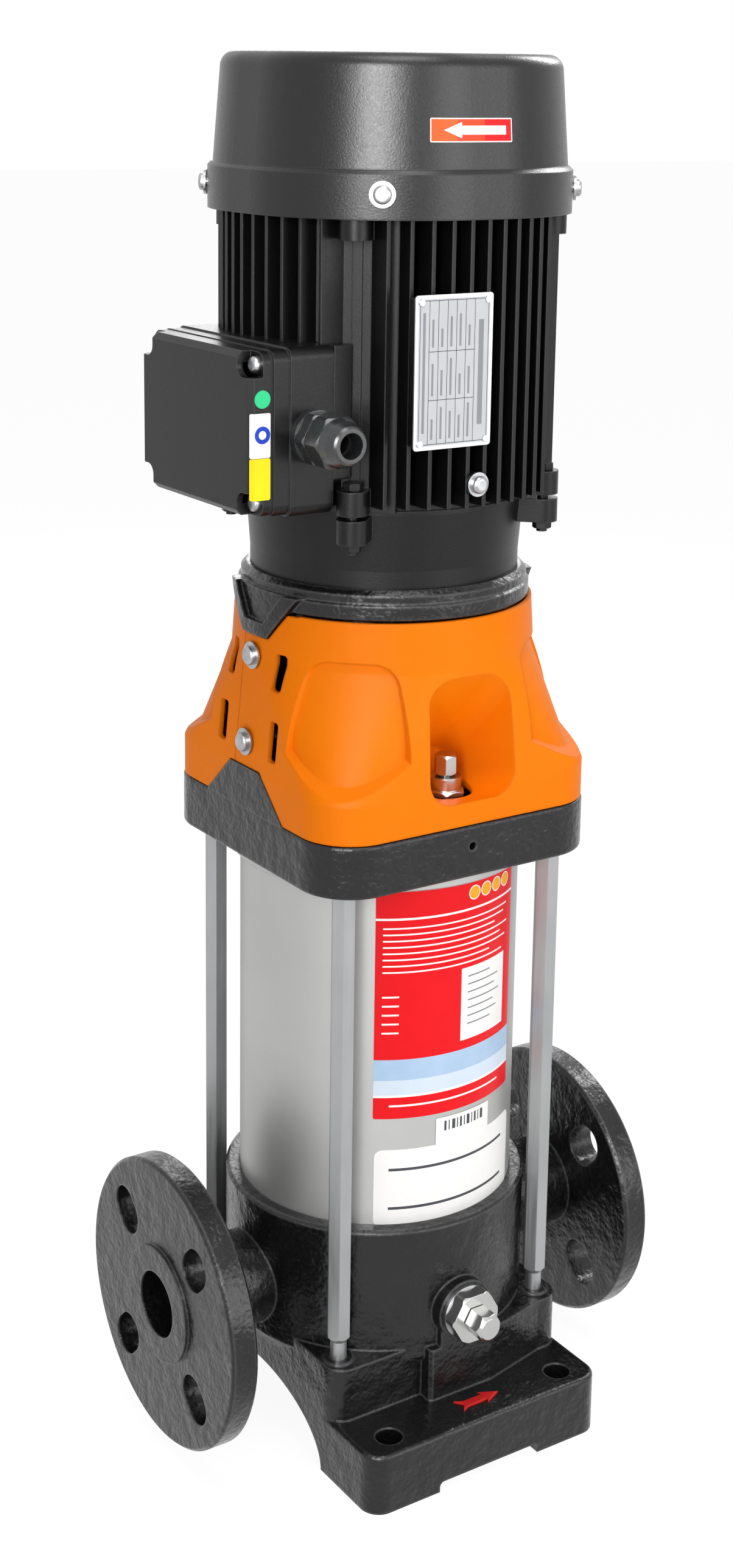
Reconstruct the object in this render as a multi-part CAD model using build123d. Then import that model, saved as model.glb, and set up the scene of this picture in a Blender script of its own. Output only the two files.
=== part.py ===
from build123d import *
import os
from math import cos, radians, sin, sqrt

os.makedirs("parts", exist_ok=True)

# Vertical multistage in-line pump. Millimetres. +X is the flow direction (inlet at -X,
# outlet at +X), -Y is the front (drain, vent and nameplate side), +Z is up.
# The origin is on the pump axis at the level the feet stand on.

# --- Ports and flanges ---
face_to_face = 250.0
port_height = 77.0
port_bore = 32.0
flange_diameter = 140.0
flange_thickness = 14.0
flange_land_diameter = 57.0
flange_land_height = 2.0
flange_slot_circle = 95.0
flange_slot_width = 19.0
flange_slot_length = 24.0
flange_rim_chamfer = 1.5
neck_diameter = 46.0

# --- Base casting ---
foot_length = 135.0          # along X
foot_span = 206.0            # along Y, over both feet
foot_width = 45.0            # one foot, along Y
foot_height = 30.0
foot_corner = 10.0
foot_edge = 2.0
foot_hole = 13.0
foot_hole_pitch_x = 100.0
foot_hole_pitch_y = 180.0
foot_relief_length = 58.0
foot_relief_height = 5.0
arch_height = 30.0
shoulder_span = 140.0        # along Y
shoulder_height = 57.0
cup_diameter = 150.0
cup_height = 120.0
cup_wall = 14.0
cup_floor = 64.0             # level of the cup's inner floor
socket_depth = 12.0
eye_diameter = 44.0          # rising suction passage at the centre
eye_wall = 7.0
eye_height = 99.0            # seat of the suction guide
pocket_growth = 4.0          # cast pocket behind each port bore
pad_width = 36.0             # pad under the drain boss
pad_depth = 8.0
bolt_pad_diameter = 15.0
bolt_pad_height = 1.2

# --- Drain ---
drain_height = 75.0
drain_boss_diameter = 30.0
drain_boss_reach = 80.5      # boss face, from the axis
drain_thread = 20.0
drain_washer_diameter = 26.0
drain_washer_thickness = 1.6
drain_hex = 24.0
drain_hex_height = 7.5
drain_stem_hex = 12.5
drain_stem_length = 11.0
drain_stem_shank = 8.0
drain_depth = 16.0           # thread reach into the boss

# --- Sleeve and hydraulic stack ---
sleeve_diameter = 136.0
sleeve_wall = 1.5
seal_ring_height = 3.0
seal_ring_width = 2.2
stage_count = 6
stage_pitch = 27.0
stage_diameter = 112.0
stage_wall = 1.5
guide_height = 11.0
spider_height = 21.0
spider_legs = 6
impeller_diameter = 94.0
impeller_height = 11.0
impeller_lift = 5.0
impeller_neck = 33.0
pump_shaft_diameter = 12.0
fit_clearance = 0.05         # radial, running fit of a shaft in its bush
air_gap = 0.5                # radial, between turning and fixed parts
axial_gap = 0.4              # between turning and fixed faces
slip_clearance = 0.25        # radial, sleeve in its sockets
cover_diameter = 144.0
cover_plate_thickness = 1.5
cover_rim_height = 5.5

# --- Stay bolts ---
stay_pitch = 117.0
stay_hex = 10.4
stay_neck = 8.0
stay_neck_length = 9.0
stay_cone = 3.0
stay_thread_depth = 18.0
stay_nut = 13.0
stay_nut_height = 6.5
stay_washer_diameter = 17.0
stay_washer_thickness = 1.6

# --- Pump head (motor stool) ---
lip_half = 77.0
lip_corner = 26.0
lip_height = 25.0
lip_edge = 1.5
stool_height = 135.5         # head underside to motor flange
seal_boss_diameter = 66.0
seal_boss_height = 12.5
seal_bore = 42.0
pillar_inner = 48.0
pillar_outer = 62.0
pillar_half_width = 24.0
top_ring_radius = 69.0
top_ring_height = 14.0
top_ring_groove = 1.2
top_step_height = 6.0
peak_height = 20.0
peak_half_top = 13.0
peak_half_base = 34.0
peak_depth = 17.0
lug_drop = 27.5              # lug bottom below the motor flange
lug_half_bottom = 10.5
lug_half_top = 29.0
lug_height = 21.5
lug_reach = 72.5
lug_recess = 3.0
lug_rim = 6.5
locating_hole = 4.0
locating_hole_height = 15.0
motor_spigot = 95.0
motor_spigot_depth = 3.5
motor_bolt_circle = 115.0
motor_bolt = 8.0
motor_bolt_hex = 13.0

# --- Vent plug ---
vent_offset = 54.0           # in front of the axis
vent_hex = 17.0
vent_hex_height = 12.0
vent_collar_diameter = 18.0
vent_collar_height = 6.0
vent_shank = 10.0
vent_screw_hex = 10.0
vent_screw_length = 10.0
vent_screw_shank = 6.0

# --- Coupling guards ---
guard_wall = 2.5
guard_gap = 0.4
guard_base_half = 76.5
guard_base_corner = 25.5
guard_band_height = 18.5
guard_waist_radius = 71.5
guard_waist_drop = 38.0      # below the motor flange
guard_top_radius = 70.0
guard_top_drop = 14.0
guard_round = 1.5            # flat left on each side of the nearly round sections
panel_depth_base = 5.0
panel_depth_waist = 1.6
panel_start = 34.0
panel_corner = 9.0
panel_top_drop = 33.0
panel_ledge_height = 25.0    # above the lip
panel_ledge_angle = 35.0
guard_seam = 9.0
guard_tongue = 1.5
guard_screw_drops = (37.5, 78.5)
guard_screw = 5.0
guard_screw_head = 9.0
guard_screw_head_height = 2.6
guard_washer_diameter = 13.0
guard_washer_thickness = 1.2
vent_slot_width = 7.0
vent_slot_corner = 1.8
upper_slot_drop, upper_slot_length, upper_slot_offset = 42.0, 17.0, 20.0
lower_slot_drop, lower_slot_length, lower_slot_offset = 73.5, 19.0, 22.5
funnel_half_width = 25.5
funnel_half_height = 34.5
funnel_corner = 13.0
funnel_back_half = 10.0
funnel_back_corner = 9.0
funnel_back_reach = 40.0
funnel_mouth_reach = 80.0
funnel_mouth_height = 46.5   # centre, above the lip
funnel_back_height = 17.5
funnel_hole = 25.0

# --- Coupling ---
coupling_diameter = 50.0
coupling_length = 66.0
coupling_gap = 3.0
coupling_bolt = 6.0
coupling_bolt_offset = 19.0
coupling_bolt_inset = 12.0
coupling_bolt_hex = 10.0
shaft_end_gap = 2.0
coupling_pin = 5.0
motor_shaft_stub = 40.0

# --- Motor ---
shaft_diameter = 19.0
bearing_shaft = 20.0
rotor_shaft = 26.0
bearing_outer = 47.0
bearing_width = 14.0
shield_height = 36.0
shield_radius = 65.5
shield_foot_radius = 63.5
shield_wall = 6.0
frame_height = 130.0
frame_root_radius = 64.5
frame_bore = 116.0
fin_tip_radius = 78.5
fin_pitch = 8.7
fin_thickness = 1.9
fin_count_half = 5
fin_start = 3.0              # fins begin above the frame's lower face
corner_flat_radius = 69.0
corner_flat_width = 36.0
corner_rib_width = 4.5
corner_rib_proud = 1.2
ear_circle = 150.0
ear_radius = 7.0
ear_height = 11.0
ear_gap = 2.0
top_ear_height = 10.0
tie_bolt = 5.0
tie_bolt_hex = 8.0
tie_head_height = 3.5
stator_length = 70.0
stator_bore = 71.0
winding_outer = 108.0
winding_inner = 78.0
winding_height = 18.0
rear_plate_height = 7.0
rear_boss_radius = 6.0
rear_boss_height = 10.0      # boss centre above the frame top
fan_diameter = 132.0
fan_height = 26.0
fan_hub = 34.0
fan_blades = 7
fan_blade_thickness = 2.5
cowl_skirt_half = 79.8
cowl_skirt_corner = 70.0
cowl_skirt_height = 21.0
cowl_half = 77.6
cowl_corner = 68.0
cowl_top_half = 73.6
cowl_height = 70.0
cowl_wall = 1.2
cowl_round = 7.0
cowl_screw_angle = 54.0      # measured from +X, repeated every quarter turn
cowl_screw = 5.0
cowl_screw_head = 8.0
cowl_screw_head_height = 2.5
cowl_washer_diameter = 11.5
cowl_washer_thickness = 1.2
grille_rings = 3
grille_spokes = 6
grille_first = 20.0
grille_slot = 9.0
grille_step = 15.0

# --- Nameplate and earth screw ---
plate_width, plate_height, plate_thickness = 41.0, 67.0, 0.8
plate_centre_x = -19.0
plate_level = 64.5           # plate centre above the frame's lower face
plate_pad = 6.0
rivet_diameter = 3.0
rivet_height = 0.8
earth_x, earth_level = -4.35, 13.5
earth_boss = 10.0
earth_washer_diameter = 11.0
earth_screw_head = 8.0
earth_screw = 5.0

# --- Terminal box ---
box_half_width = 50.0
box_height = 74.0
box_level = 37.8             # box centre above the frame's lower face
box_reach = 83.0             # end of the deeper part, from the axis
box_rim_reach = 91.0
box_wall = 4.0
box_corner = 5.0
box_rim_step = 0.8
gasket_thickness = 1.0
cover_reach = 103.0
cover_wall = 3.0
cover_inset = 1.2
cover_bevel = 5.0
cover_ear = 7.0              # corner pocket around each cover screw
cover_screw = 4.0
cover_screw_head = 7.5
cover_screw_head_height = 3.0
cover_screw_inset = 7.0
cover_ear_reach = 96.0
board_width, board_height, board_thickness = 50.0, 34.0, 8.0
stud_diameter, stud_height, stud_pitch = 5.0, 12.0, 15.0
gland_x = -71.5
gland_level = 36.0
gland_thread = 18.0
gland_flange = 24.0
gland_flange_height = 4.0
gland_hex = 22.0
gland_hex_height = 7.0
gland_nut_hex = 22.0
gland_nut_height = 10.0
gland_dome_height = 9.0
gland_dome_end = 15.0
gland_bore = 9.5
gland_seal_outer = 14.0

# --- Levels worked out from the sizes above ---
socket_floor = cup_height - socket_depth
sleeve_bottom = socket_floor + seal_ring_height
stack_bottom = eye_height + guide_height
stack_top = stack_bottom + stage_count * stage_pitch
cover_underside = stack_top + spider_height
sleeve_top = cover_underside - seal_ring_height
head_bottom = cover_underside + cover_plate_thickness
lip_top = head_bottom + lip_height
boss_top = lip_top + seal_boss_height
flange_level = head_bottom + stool_height
ring_bottom = flange_level - top_ring_height
waist_level = flange_level - guard_waist_drop
guard_bottom = lip_top + guard_gap
guard_top = flange_level - guard_top_drop - guard_gap
band_top = lip_top + guard_band_height
frame_bottom = flange_level + shield_height
frame_top = frame_bottom + frame_height
cowl_bottom = frame_top - 1.0
cowl_top = cowl_bottom + cowl_height
coupling_middle = flange_level - motor_shaft_stub - shaft_end_gap / 2
coupling_bottom = coupling_middle - coupling_length * 0.62
coupling_top = coupling_bottom + coupling_length
fan_bottom = frame_top + rear_boss_height + rear_boss_radius + 2.0
fan_top = fan_bottom + fan_height
sleeve_radius = sleeve_diameter / 2
box_middle = frame_bottom + box_level
gland_height = frame_bottom + gland_level
stay_corners = [(x * stay_pitch / 2, y * stay_pitch / 2) for x in (-1, 1) for y in (-1, 1)]
quarter_turns = (45, 135, 225, 315)


# --- Shared shapes ---
def rod(radius, low, high, x=0.0, y=0.0):
    """Upright cylinder."""
    return Pos(x, y, (low + high) / 2) * Cylinder(radius, high - low)


def pipe(outer, inner, low, high, x=0.0, y=0.0):
    """Upright tube."""
    return rod(outer, low, high, x, y) - rod(inner, low - 1, high + 1, x, y)


def rod_x(radius, start, end, y, z):
    """Cylinder along X."""
    return Pos((start + end) / 2, y, z) * Rot(0, 90, 0) * Cylinder(radius, abs(end - start))


def rod_y(radius, start, end, x, z):
    """Cylinder along Y."""
    return Pos(x, (start + end) / 2, z) * Rot(90, 0, 0) * Cylinder(radius, abs(end - start))


def block(x0, x1, y0, y1, z0, z1):
    """Box between two corners."""
    return Pos((x0 + x1) / 2, (y0 + y1) / 2, (z0 + z1) / 2) * Box(x1 - x0, y1 - y0, z1 - z0)


def cushion(half_x, half_y, corner, low, high):
    """Upright block with rounded vertical edges."""
    return extrude(Pos(0, 0, low) * RectangleRounded(2 * half_x, 2 * half_y, corner), high - low)


def turned(points):
    """Solid of revolution about the pump axis from (radius, level) points."""
    return revolve(make_face(Plane.XZ * Polyline(*points, close=True)), Axis.Z)


def hexagon(across_flats, height):
    """Hexagonal prism standing on its own XY plane."""
    return extrude(RegularPolygon(across_flats / 2, 6, major_radius=False), height)


def hex_nut(across_flats, height):
    """Hexagon with both corner ends turned off."""
    trim = Pos(0, 0, height / 2) * Cylinder(across_flats * 0.56, height)
    return hexagon(across_flats, height) & chamfer(trim.edges(), height * 0.12)


def plate_yz(points, x0, x1):
    """Slab between two X stations from (y, z) points."""
    outline = make_face(Plane.YZ * Polyline(*points, close=True))
    return Pos(x0, 0, 0) * extrude(outline, x1 - x0)


def both_sides(shape):
    """The shape and its half-turn copy about the pump axis."""
    return shape + Rot(0, 0, 180) * shape


def group(shapes):
    """Separate solids kept together in one node."""
    return Compound(children=[s for shape in shapes for s in shape.solids()])


# --- Base ---
def port_flange(side):
    """Flange with four radial slots and a raised land, on the port axis."""
    radius = flange_diameter / 2
    disc = Pos(0, 0, flange_thickness / 2) * Cylinder(radius, flange_thickness)
    disc = chamfer(disc.edges(), flange_rim_chamfer)
    disc += Pos(0, 0, flange_thickness + flange_land_height / 2) * Cylinder(
        flange_land_diameter / 2, flange_land_height)
    slot = extrude(SlotOverall(flange_slot_length, flange_slot_width), flange_thickness)
    for angle in quarter_turns:
        disc -= Rot(0, 0, angle) * Pos(flange_slot_circle / 2, 0, 0) * slot
    inner_face = face_to_face / 2 - flange_land_height - flange_thickness
    return Pos(side * inner_face, 0, port_height) * Rot(0, side * 90, 0) * disc


def pump_base():
    foot = cushion(foot_length / 2, foot_span / 2, foot_corner, 0, foot_height)
    foot = fillet(foot.edges().group_by(Axis.Z)[-1], foot_edge)
    shoulder = cushion(foot_length / 2, shoulder_span / 2, foot_corner, 0, shoulder_height)
    cup_radius = cup_diameter / 2
    cup = turned([(0, shoulder_height - 17), (cup_radius - 9, shoulder_height - 17),
                  (cup_radius, shoulder_height - 5), (cup_radius, cup_height - 1.5),
                  (cup_radius - 1.5, cup_height), (0, cup_height)])
    inner_face = face_to_face / 2 - flange_land_height - flange_thickness
    neck = rod_x(neck_diameter / 2, -inner_face, inner_face, 0, port_height)
    drain = rod_y(drain_boss_diameter / 2, -drain_boss_reach, cup_wall - cup_radius, 0,
                  drain_height)
    pad_front = -(shoulder_span / 2 + pad_depth)
    pad = extrude(make_face(Polyline((-pad_width / 2, 0), (-pad_width / 2, pad_front + 1.5),
                                     (1.5 - pad_width / 2, pad_front), (pad_width / 2, pad_front),
                                     (foot_length / 2 - foot_corner, -shoulder_span / 2 + 1),
                                     (foot_length / 2 - foot_corner, 0), close=True)),
                  shoulder_height)
    gusset = block(-drain_boss_diameter * 0.4, drain_boss_diameter * 0.4, pad_front,
                   cup_wall - cup_radius, foot_height, drain_height - 2)
    bolt_pads = [rod(bolt_pad_diameter / 2, foot_height, shoulder_height + bolt_pad_height, x, y)
                 for x, y in stay_corners]
    body = foot.fuse(shoulder, cup, neck, drain, gusset, pad, *bolt_pads)
    body = body.fuse(port_flange(1), port_flange(-1))

    arch_half = foot_span / 2 - foot_width
    tunnel = Rot(0, 90, 0) * Ellipse(arch_height, arch_half)
    body -= Pos(-foot_length / 2 - 1, 0, 0) * extrude(tunnel, foot_length + 2)
    relief = block(-foot_relief_length / 2, foot_relief_length / 2, -foot_span, foot_span,
                   -foot_relief_height, foot_relief_height)
    body -= fillet(relief.edges() | Axis.Y, foot_relief_height * 0.5)
    for x in (-foot_hole_pitch_x / 2, foot_hole_pitch_x / 2):
        for y in (-foot_hole_pitch_y / 2, foot_hole_pitch_y / 2):
            body -= rod(foot_hole / 2, -1, foot_height + 1, x, y)
    for x, y in stay_corners:
        top = shoulder_height + bolt_pad_height
        body -= rod(stay_neck / 2, top - stay_thread_depth, top + 1, x, y)

    cavity_radius = cup_radius - cup_wall
    cavity = rod(cavity_radius, cup_floor, cup_height + 1)
    eye_outer = eye_diameter / 2 + eye_wall
    elbow_radius = port_bore / 2 + pocket_growth + 5.0
    cavity -= rod(eye_outer, cup_floor - 1, eye_height)
    elbow = rod_x(elbow_radius, -cavity_radius - 1, 0, 0, port_height)
    cavity -= elbow & block(-cup_radius, 1, -cup_radius, cup_radius, 0, eye_height)
    body -= cavity
    body -= rod(sleeve_radius + slip_clearance, socket_floor, cup_height + 1)
    pocket_radius = port_bore / 2 + pocket_growth
    body -= rod(eye_diameter / 2, port_height - port_bore / 2 - 1, eye_height + 1)
    body -= rod_x(pocket_radius, -eye_outer - 3, 0, 0, port_height)
    body -= rod_x(port_bore / 2, -face_to_face / 2 - 1, 0, 0, port_height)
    outlet_end = cavity_radius + 3
    body -= rod_x(pocket_radius, eye_outer + 2, outlet_end, 0, port_height)
    body -= rod_x(port_bore / 2, eye_outer + 2, face_to_face / 2 + 1, 0, port_height)
    body -= rod_y(drain_thread / 2, -drain_boss_reach - 1, -drain_boss_reach + drain_depth,
                  0, drain_height)
    body -= rod_y(drain_stem_shank / 2, -drain_boss_reach, -eye_outer - 2, 0, drain_height)
    return body


def drain_washer():
    front = drain_boss_reach + drain_washer_thickness
    ring = rod_y(drain_washer_diameter / 2, -front, -drain_boss_reach, 0, drain_height)
    return ring - rod_y(drain_thread / 2, -front - 1, -drain_boss_reach + 1, 0, drain_height)


def drain_plug():
    back = drain_boss_reach + drain_washer_thickness
    body = Pos(0, -back, drain_height) * Rot(90, 0, 0) * hex_nut(drain_hex, drain_hex_height)
    body += rod_y(drain_thread / 2, -back, -drain_boss_reach + drain_depth - 1, 0, drain_height)
    bore = drain_stem_shank / 2 + fit_clearance
    return body - rod_y(bore, -back - drain_hex_height - 1, 0, 0, drain_height)


def drain_stem():
    face = drain_boss_reach + drain_washer_thickness + drain_hex_height + axial_gap
    head = hexagon(drain_stem_hex, drain_stem_length)
    cone = Pos(0, 0, drain_stem_length * 0.75) * Cone(
        drain_stem_hex * 0.8, drain_stem_hex * 0.42, drain_stem_length * 0.5)
    head = head & (Pos(0, 0, drain_stem_length * 0.25) * Cylinder(
        drain_stem_hex * 0.8, drain_stem_length * 0.5) + cone)
    head = Pos(0, -face, drain_height) * Rot(90, 0, 0) * head
    return head + rod_y(drain_stem_shank / 2, -face, -drain_boss_reach + drain_depth,
                        0, drain_height)


# --- Sleeve, seals and stay bolts ---
def outer_sleeve():
    return pipe(sleeve_radius, sleeve_radius - sleeve_wall, sleeve_bottom, sleeve_top)


def sleeve_seals():
    inner = sleeve_radius - seal_ring_width
    return group([pipe(sleeve_radius, inner, socket_floor, sleeve_bottom),
                  pipe(sleeve_radius, inner, sleeve_top, cover_underside)])


def head_cover_plate():
    rim_bore = sleeve_radius + slip_clearance
    plate = turned([(seal_bore / 2, cover_underside), (rim_bore, cover_underside),
                    (rim_bore, head_bottom - cover_rim_height),
                    (cover_diameter / 2 - 0.8, head_bottom - cover_rim_height),
                    (cover_diameter / 2, head_bottom - cover_rim_height + 0.8),
                    (cover_diameter / 2, head_bottom), (seal_bore / 2, head_bottom)])
    return plate - rod(vent_shank / 2, cover_underside - 1, head_bottom + 1, 0, -vent_offset)


def stay_bolts():
    seat = shoulder_height + bolt_pad_height
    bars = []
    for x, y in stay_corners:
        shaft_low = seat + stay_neck_length
        bar = Pos(x, y, shaft_low) * hexagon(stay_hex, head_bottom - shaft_low)
        trim = turned([(0, shaft_low), (stay_neck / 2, shaft_low),
                       (stay_hex * 0.6, shaft_low + stay_cone),
                       (stay_hex * 0.6, head_bottom), (0, head_bottom)])
        bar = bar & (Pos(x, y, 0) * trim)
        bar += rod(stay_neck / 2, seat - stay_thread_depth + 1, shaft_low, x, y)
        nut_top = lip_top + stay_washer_thickness + stay_nut_height
        bar += rod(stay_neck / 2, head_bottom, nut_top + 3, x, y)
        bars.append(bar)
    return group(bars)


def stay_nuts():
    level = lip_top + stay_washer_thickness
    nut = hex_nut(stay_nut, stay_nut_height) - Cylinder(stay_neck / 2, 4 * stay_nut_height)
    return group([Pos(x, y, level) * nut for x, y in stay_corners])


def stay_washers():
    return group([pipe(stay_washer_diameter / 2, stay_neck / 2, lip_top,
                       lip_top + stay_washer_thickness, x, y) for x, y in stay_corners])


# --- Hydraulic stack ---
def suction_guide():
    """Spider that carries the lower shaft bush over the suction eye."""
    bush = pump_shaft_diameter / 2 + 4.0
    neck_hole = impeller_neck / 2 + air_gap
    ring = turned([(neck_hole, eye_height), (eye_diameter / 2 + eye_wall, eye_height),
                   (eye_diameter / 2 + eye_wall, eye_height + 3),
                   (stage_diameter / 2, stack_bottom - 3), (stage_diameter / 2, stack_bottom),
                   (neck_hole, stack_bottom)])
    hub = pipe(bush, pump_shaft_diameter / 2 + 1.5, eye_height, stack_bottom - impeller_lift)
    for angle in (0, 120, 240):
        arm = block(bush - 1, neck_hole + 1, -1.5, 1.5, eye_height, eye_height + 5)
        hub += Rot(0, 0, angle) * arm
    return ring + hub


def lower_bush():
    inner = pump_shaft_diameter / 2 + fit_clearance
    return pipe(pump_shaft_diameter / 2 + 1.5, inner, eye_height, stack_bottom - impeller_lift)


def stage_chambers():
    outer = stage_diameter / 2
    hole = impeller_neck / 2 + air_gap
    bowls = []
    for stage in range(stage_count):
        low = stack_bottom + stage * stage_pitch
        bowls.append(turned([(hole, low), (outer, low), (outer, low + stage_pitch),
                             (outer - stage_wall, low + stage_pitch),
                             (outer - stage_wall, low + stage_wall), (hole, low + stage_wall)]))
    return group(bowls)


def impellers():
    bore = pump_shaft_diameter / 2
    wheels = []
    for stage in range(stage_count):
        low = stack_bottom + stage * stage_pitch
        front = low + impeller_lift
        wheels.append(turned([(bore, low), (impeller_neck / 2, low), (impeller_neck / 2, front),
                              (impeller_diameter / 2, front + impeller_height * 0.4),
                              (impeller_diameter / 2, front + impeller_height),
                              (bore, front + impeller_height)]))
    return group(wheels)


def outlet_spider():
    """Open ring that clamps the stack and lets water out to the sleeve."""
    outer = stage_diameter / 2
    ring = pipe(outer, outer - 3 * stage_wall, stack_top, cover_underside)
    window = block(0, outer + 1, -outer * 0.34, outer * 0.34,
                   stack_top + 3, cover_underside - 2)
    for leg in range(spider_legs // 2):
        cut = Rot(0, 0, leg * 360 / spider_legs) * window
        ring -= both_sides(cut)
    return ring


def pump_shaft():
    low = eye_height - 4
    return rod(pump_shaft_diameter / 2, low, coupling_middle - shaft_end_gap / 2) - rod_x(
        coupling_pin / 2, -pump_shaft_diameter, pump_shaft_diameter, 0, pin_level())


def pin_level():
    """Height of the cross pin that locates the pump shaft in the coupling."""
    return coupling_bottom + coupling_length * 0.2


# --- Shaft seal ---
def seal_gland():
    wall = seal_bore / 2
    return turned([(pump_shaft_diameter / 2 + air_gap, boss_top - 4),
                   (wall, boss_top - 4), (wall, boss_top), (wall + 7, boss_top),
                   (wall + 7, boss_top + 4), (pump_shaft_diameter / 2 + air_gap, boss_top + 4)])


def seal_seat():
    inner = pump_shaft_diameter / 2 + air_gap
    return pipe(seal_bore / 2, inner, boss_top - 10, boss_top - 4)


def seal_face():
    top = boss_top - 10 - axial_gap
    return pipe(seal_bore / 2 - 5, pump_shaft_diameter / 2, top - 6, top)


def seal_driver():
    top = boss_top - 16 - axial_gap
    return turned([(pump_shaft_diameter / 2, top - 12), (seal_bore / 2 - 8, top - 12),
                   (seal_bore / 2 - 8, top - 7), (seal_bore / 2 - 6, top - 6),
                   (seal_bore / 2 - 6, top), (pump_shaft_diameter / 2, top)])


# --- Pump head ---
def lug_points(growth):
    """Outline of the lug that hangs over the guard, grown by a clearance."""
    low = flange_level - lug_drop
    high = low + lug_height
    slope = (lug_half_top - lug_half_bottom) / lug_height
    side = growth * sqrt(1 + slope * slope)
    bottom = lug_half_bottom + side - slope * growth
    top = lug_half_top + side
    return [(-bottom, low - growth), (bottom, low - growth), (top, high), (-top, high)]


def peak_points(growth):
    """Outline of the raised peak at the foot of each pillar, grown by a clearance."""
    slope = (peak_half_base - peak_half_top) / peak_height
    side = growth * sqrt(1 + slope * slope)
    high = lip_top + peak_height + growth
    top = peak_half_top + side - slope * growth
    base = peak_half_base + side
    return [(-base, lip_top - 0.5), (base, lip_top - 0.5), (base, lip_top), (top, high),
            (-top, high), (-base, lip_top)]


def pump_head():
    lip = cushion(lip_half, lip_half, lip_corner, head_bottom, lip_top)
    lip = fillet(lip.edges().group_by(Axis.Z)[-1] + lip.edges().group_by(Axis.Z)[0], lip_edge)
    head = lip + rod(seal_boss_diameter / 2, lip_top, boss_top)
    ring_inner = motor_spigot / 2 - 7
    groove_low = flange_level - top_step_height
    ring = turned([(ring_inner, ring_bottom), (top_ring_radius - 1, ring_bottom),
                   (top_ring_radius, ring_bottom + 1), (top_ring_radius, groove_low - 1),
                   (top_ring_radius - top_ring_groove, groove_low),
                   (top_ring_radius - top_ring_groove, flange_level - 2.5),
                   (top_ring_radius - 2.5 - top_ring_groove, flange_level),
                   (ring_inner, flange_level)])
    pillar = block(pillar_inner, pillar_outer, -pillar_half_width, pillar_half_width,
                   lip_top, ring_bottom)
    pillar = fillet(pillar.edges() | Axis.Z, 5)
    peak = plate_yz(peak_points(0), lip_half - peak_depth, lip_half)
    lug = plate_yz(lug_points(0), pillar_outer - 4, lug_reach) & rod(
        lug_reach, ring_bottom - lug_drop, flange_level)
    low, high = flange_level - lug_drop, flange_level - lug_drop + lug_height
    slope = (lug_half_top - lug_half_bottom) / lug_height
    dent_low = low + lug_rim
    dent_half = max(lug_half_bottom + slope * lug_rim - lug_rim * 1.25, 1.0)
    dent_top = lug_half_top - lug_rim * 1.25
    dent = plate_yz([(-dent_half, dent_low), (dent_half, dent_low), (dent_top, high + 1),
                     (-dent_top, high + 1)], pillar_outer - 4, lug_reach + 1)
    lug -= dent - rod(lug_reach - lug_recess, ring_bottom - lug_drop, flange_level)
    side = pillar + peak + lug
    for drop in guard_screw_drops:
        level = flange_level - drop
        side += rod_x(5.0, pillar_outer - 1, boss_reach(level), 0, level)
    head += ring + both_sides(side)
    for drop in guard_screw_drops:
        level = flange_level - drop
        for side_sign in (-1, 1):
            head -= rod_x(guard_screw / 2, side_sign * (pillar_inner + 3), side_sign * lip_half,
                          0, level)
    head -= rod(motor_spigot / 2, flange_level - motor_spigot_depth, flange_level + 1)
    head -= rod(seal_bore / 2, head_bottom - 1, boss_top + 1)
    head -= rod(vent_shank / 2, head_bottom - 1, lip_top + 1, 0, -vent_offset)
    head -= rod_y(locating_hole / 2, -lip_half - 1, -lip_half + 8, 0,
                  head_bottom + locating_hole_height)
    for x, y in stay_corners:
        head -= rod(stay_neck / 2, head_bottom - 1, lip_top + 1, x, y)
    for angle in quarter_turns:
        head -= Rot(0, 0, angle) * rod(motor_bolt / 2, ring_bottom - 1, flange_level + 1,
                                       motor_bolt_circle / 2)
    return head


# --- Vent plug ---
def vent_plug():
    level = lip_top
    plug = Pos(0, -vent_offset, level) * hex_nut(vent_hex, vent_hex_height)
    collar_top = level + vent_hex_height + vent_collar_height
    plug += rod(vent_collar_diameter / 2 - 1.5, level + vent_hex_height, collar_top,
                0, -vent_offset)
    plug += rod(vent_shank / 2, cover_underside + 1, level, 0, -vent_offset)
    bore = vent_screw_shank / 2 + fit_clearance
    return plug - rod(bore, cover_underside, collar_top + 1, 0, -vent_offset)


def vent_screw():
    seat = lip_top + vent_hex_height + vent_collar_height + axial_gap
    screw = Pos(0, -vent_offset, seat) * hex_nut(vent_screw_hex, vent_screw_length)
    return screw + rod(vent_screw_shank / 2, lip_top - 8, seat, 0, -vent_offset)


# --- Guards ---
def skin(offset, depth_base, depth_waist, reach):
    """Guard surface: round at the top, a rounded square at the bottom."""
    total_base = offset + depth_base
    total_waist = offset + depth_waist
    base_half = guard_base_half - total_base
    base_corner = max(guard_base_corner - total_base, 4.0)
    waist = guard_waist_radius - total_waist
    top = guard_top_radius - total_waist
    low = Pos(0, 0, band_top) * RectangleRounded(2 * base_half, 2 * base_half, base_corner)
    mid = Pos(0, 0, waist_level) * RectangleRounded(2 * waist, 2 * waist, waist - guard_round)
    high = Pos(0, 0, guard_top + reach) * RectangleRounded(2 * top, 2 * top, top - guard_round)
    body = loft([low, mid], ruled=True) + loft([mid, high], ruled=True)
    return body + cushion(base_half, base_half, base_corner, guard_bottom - reach, band_top)


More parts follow.
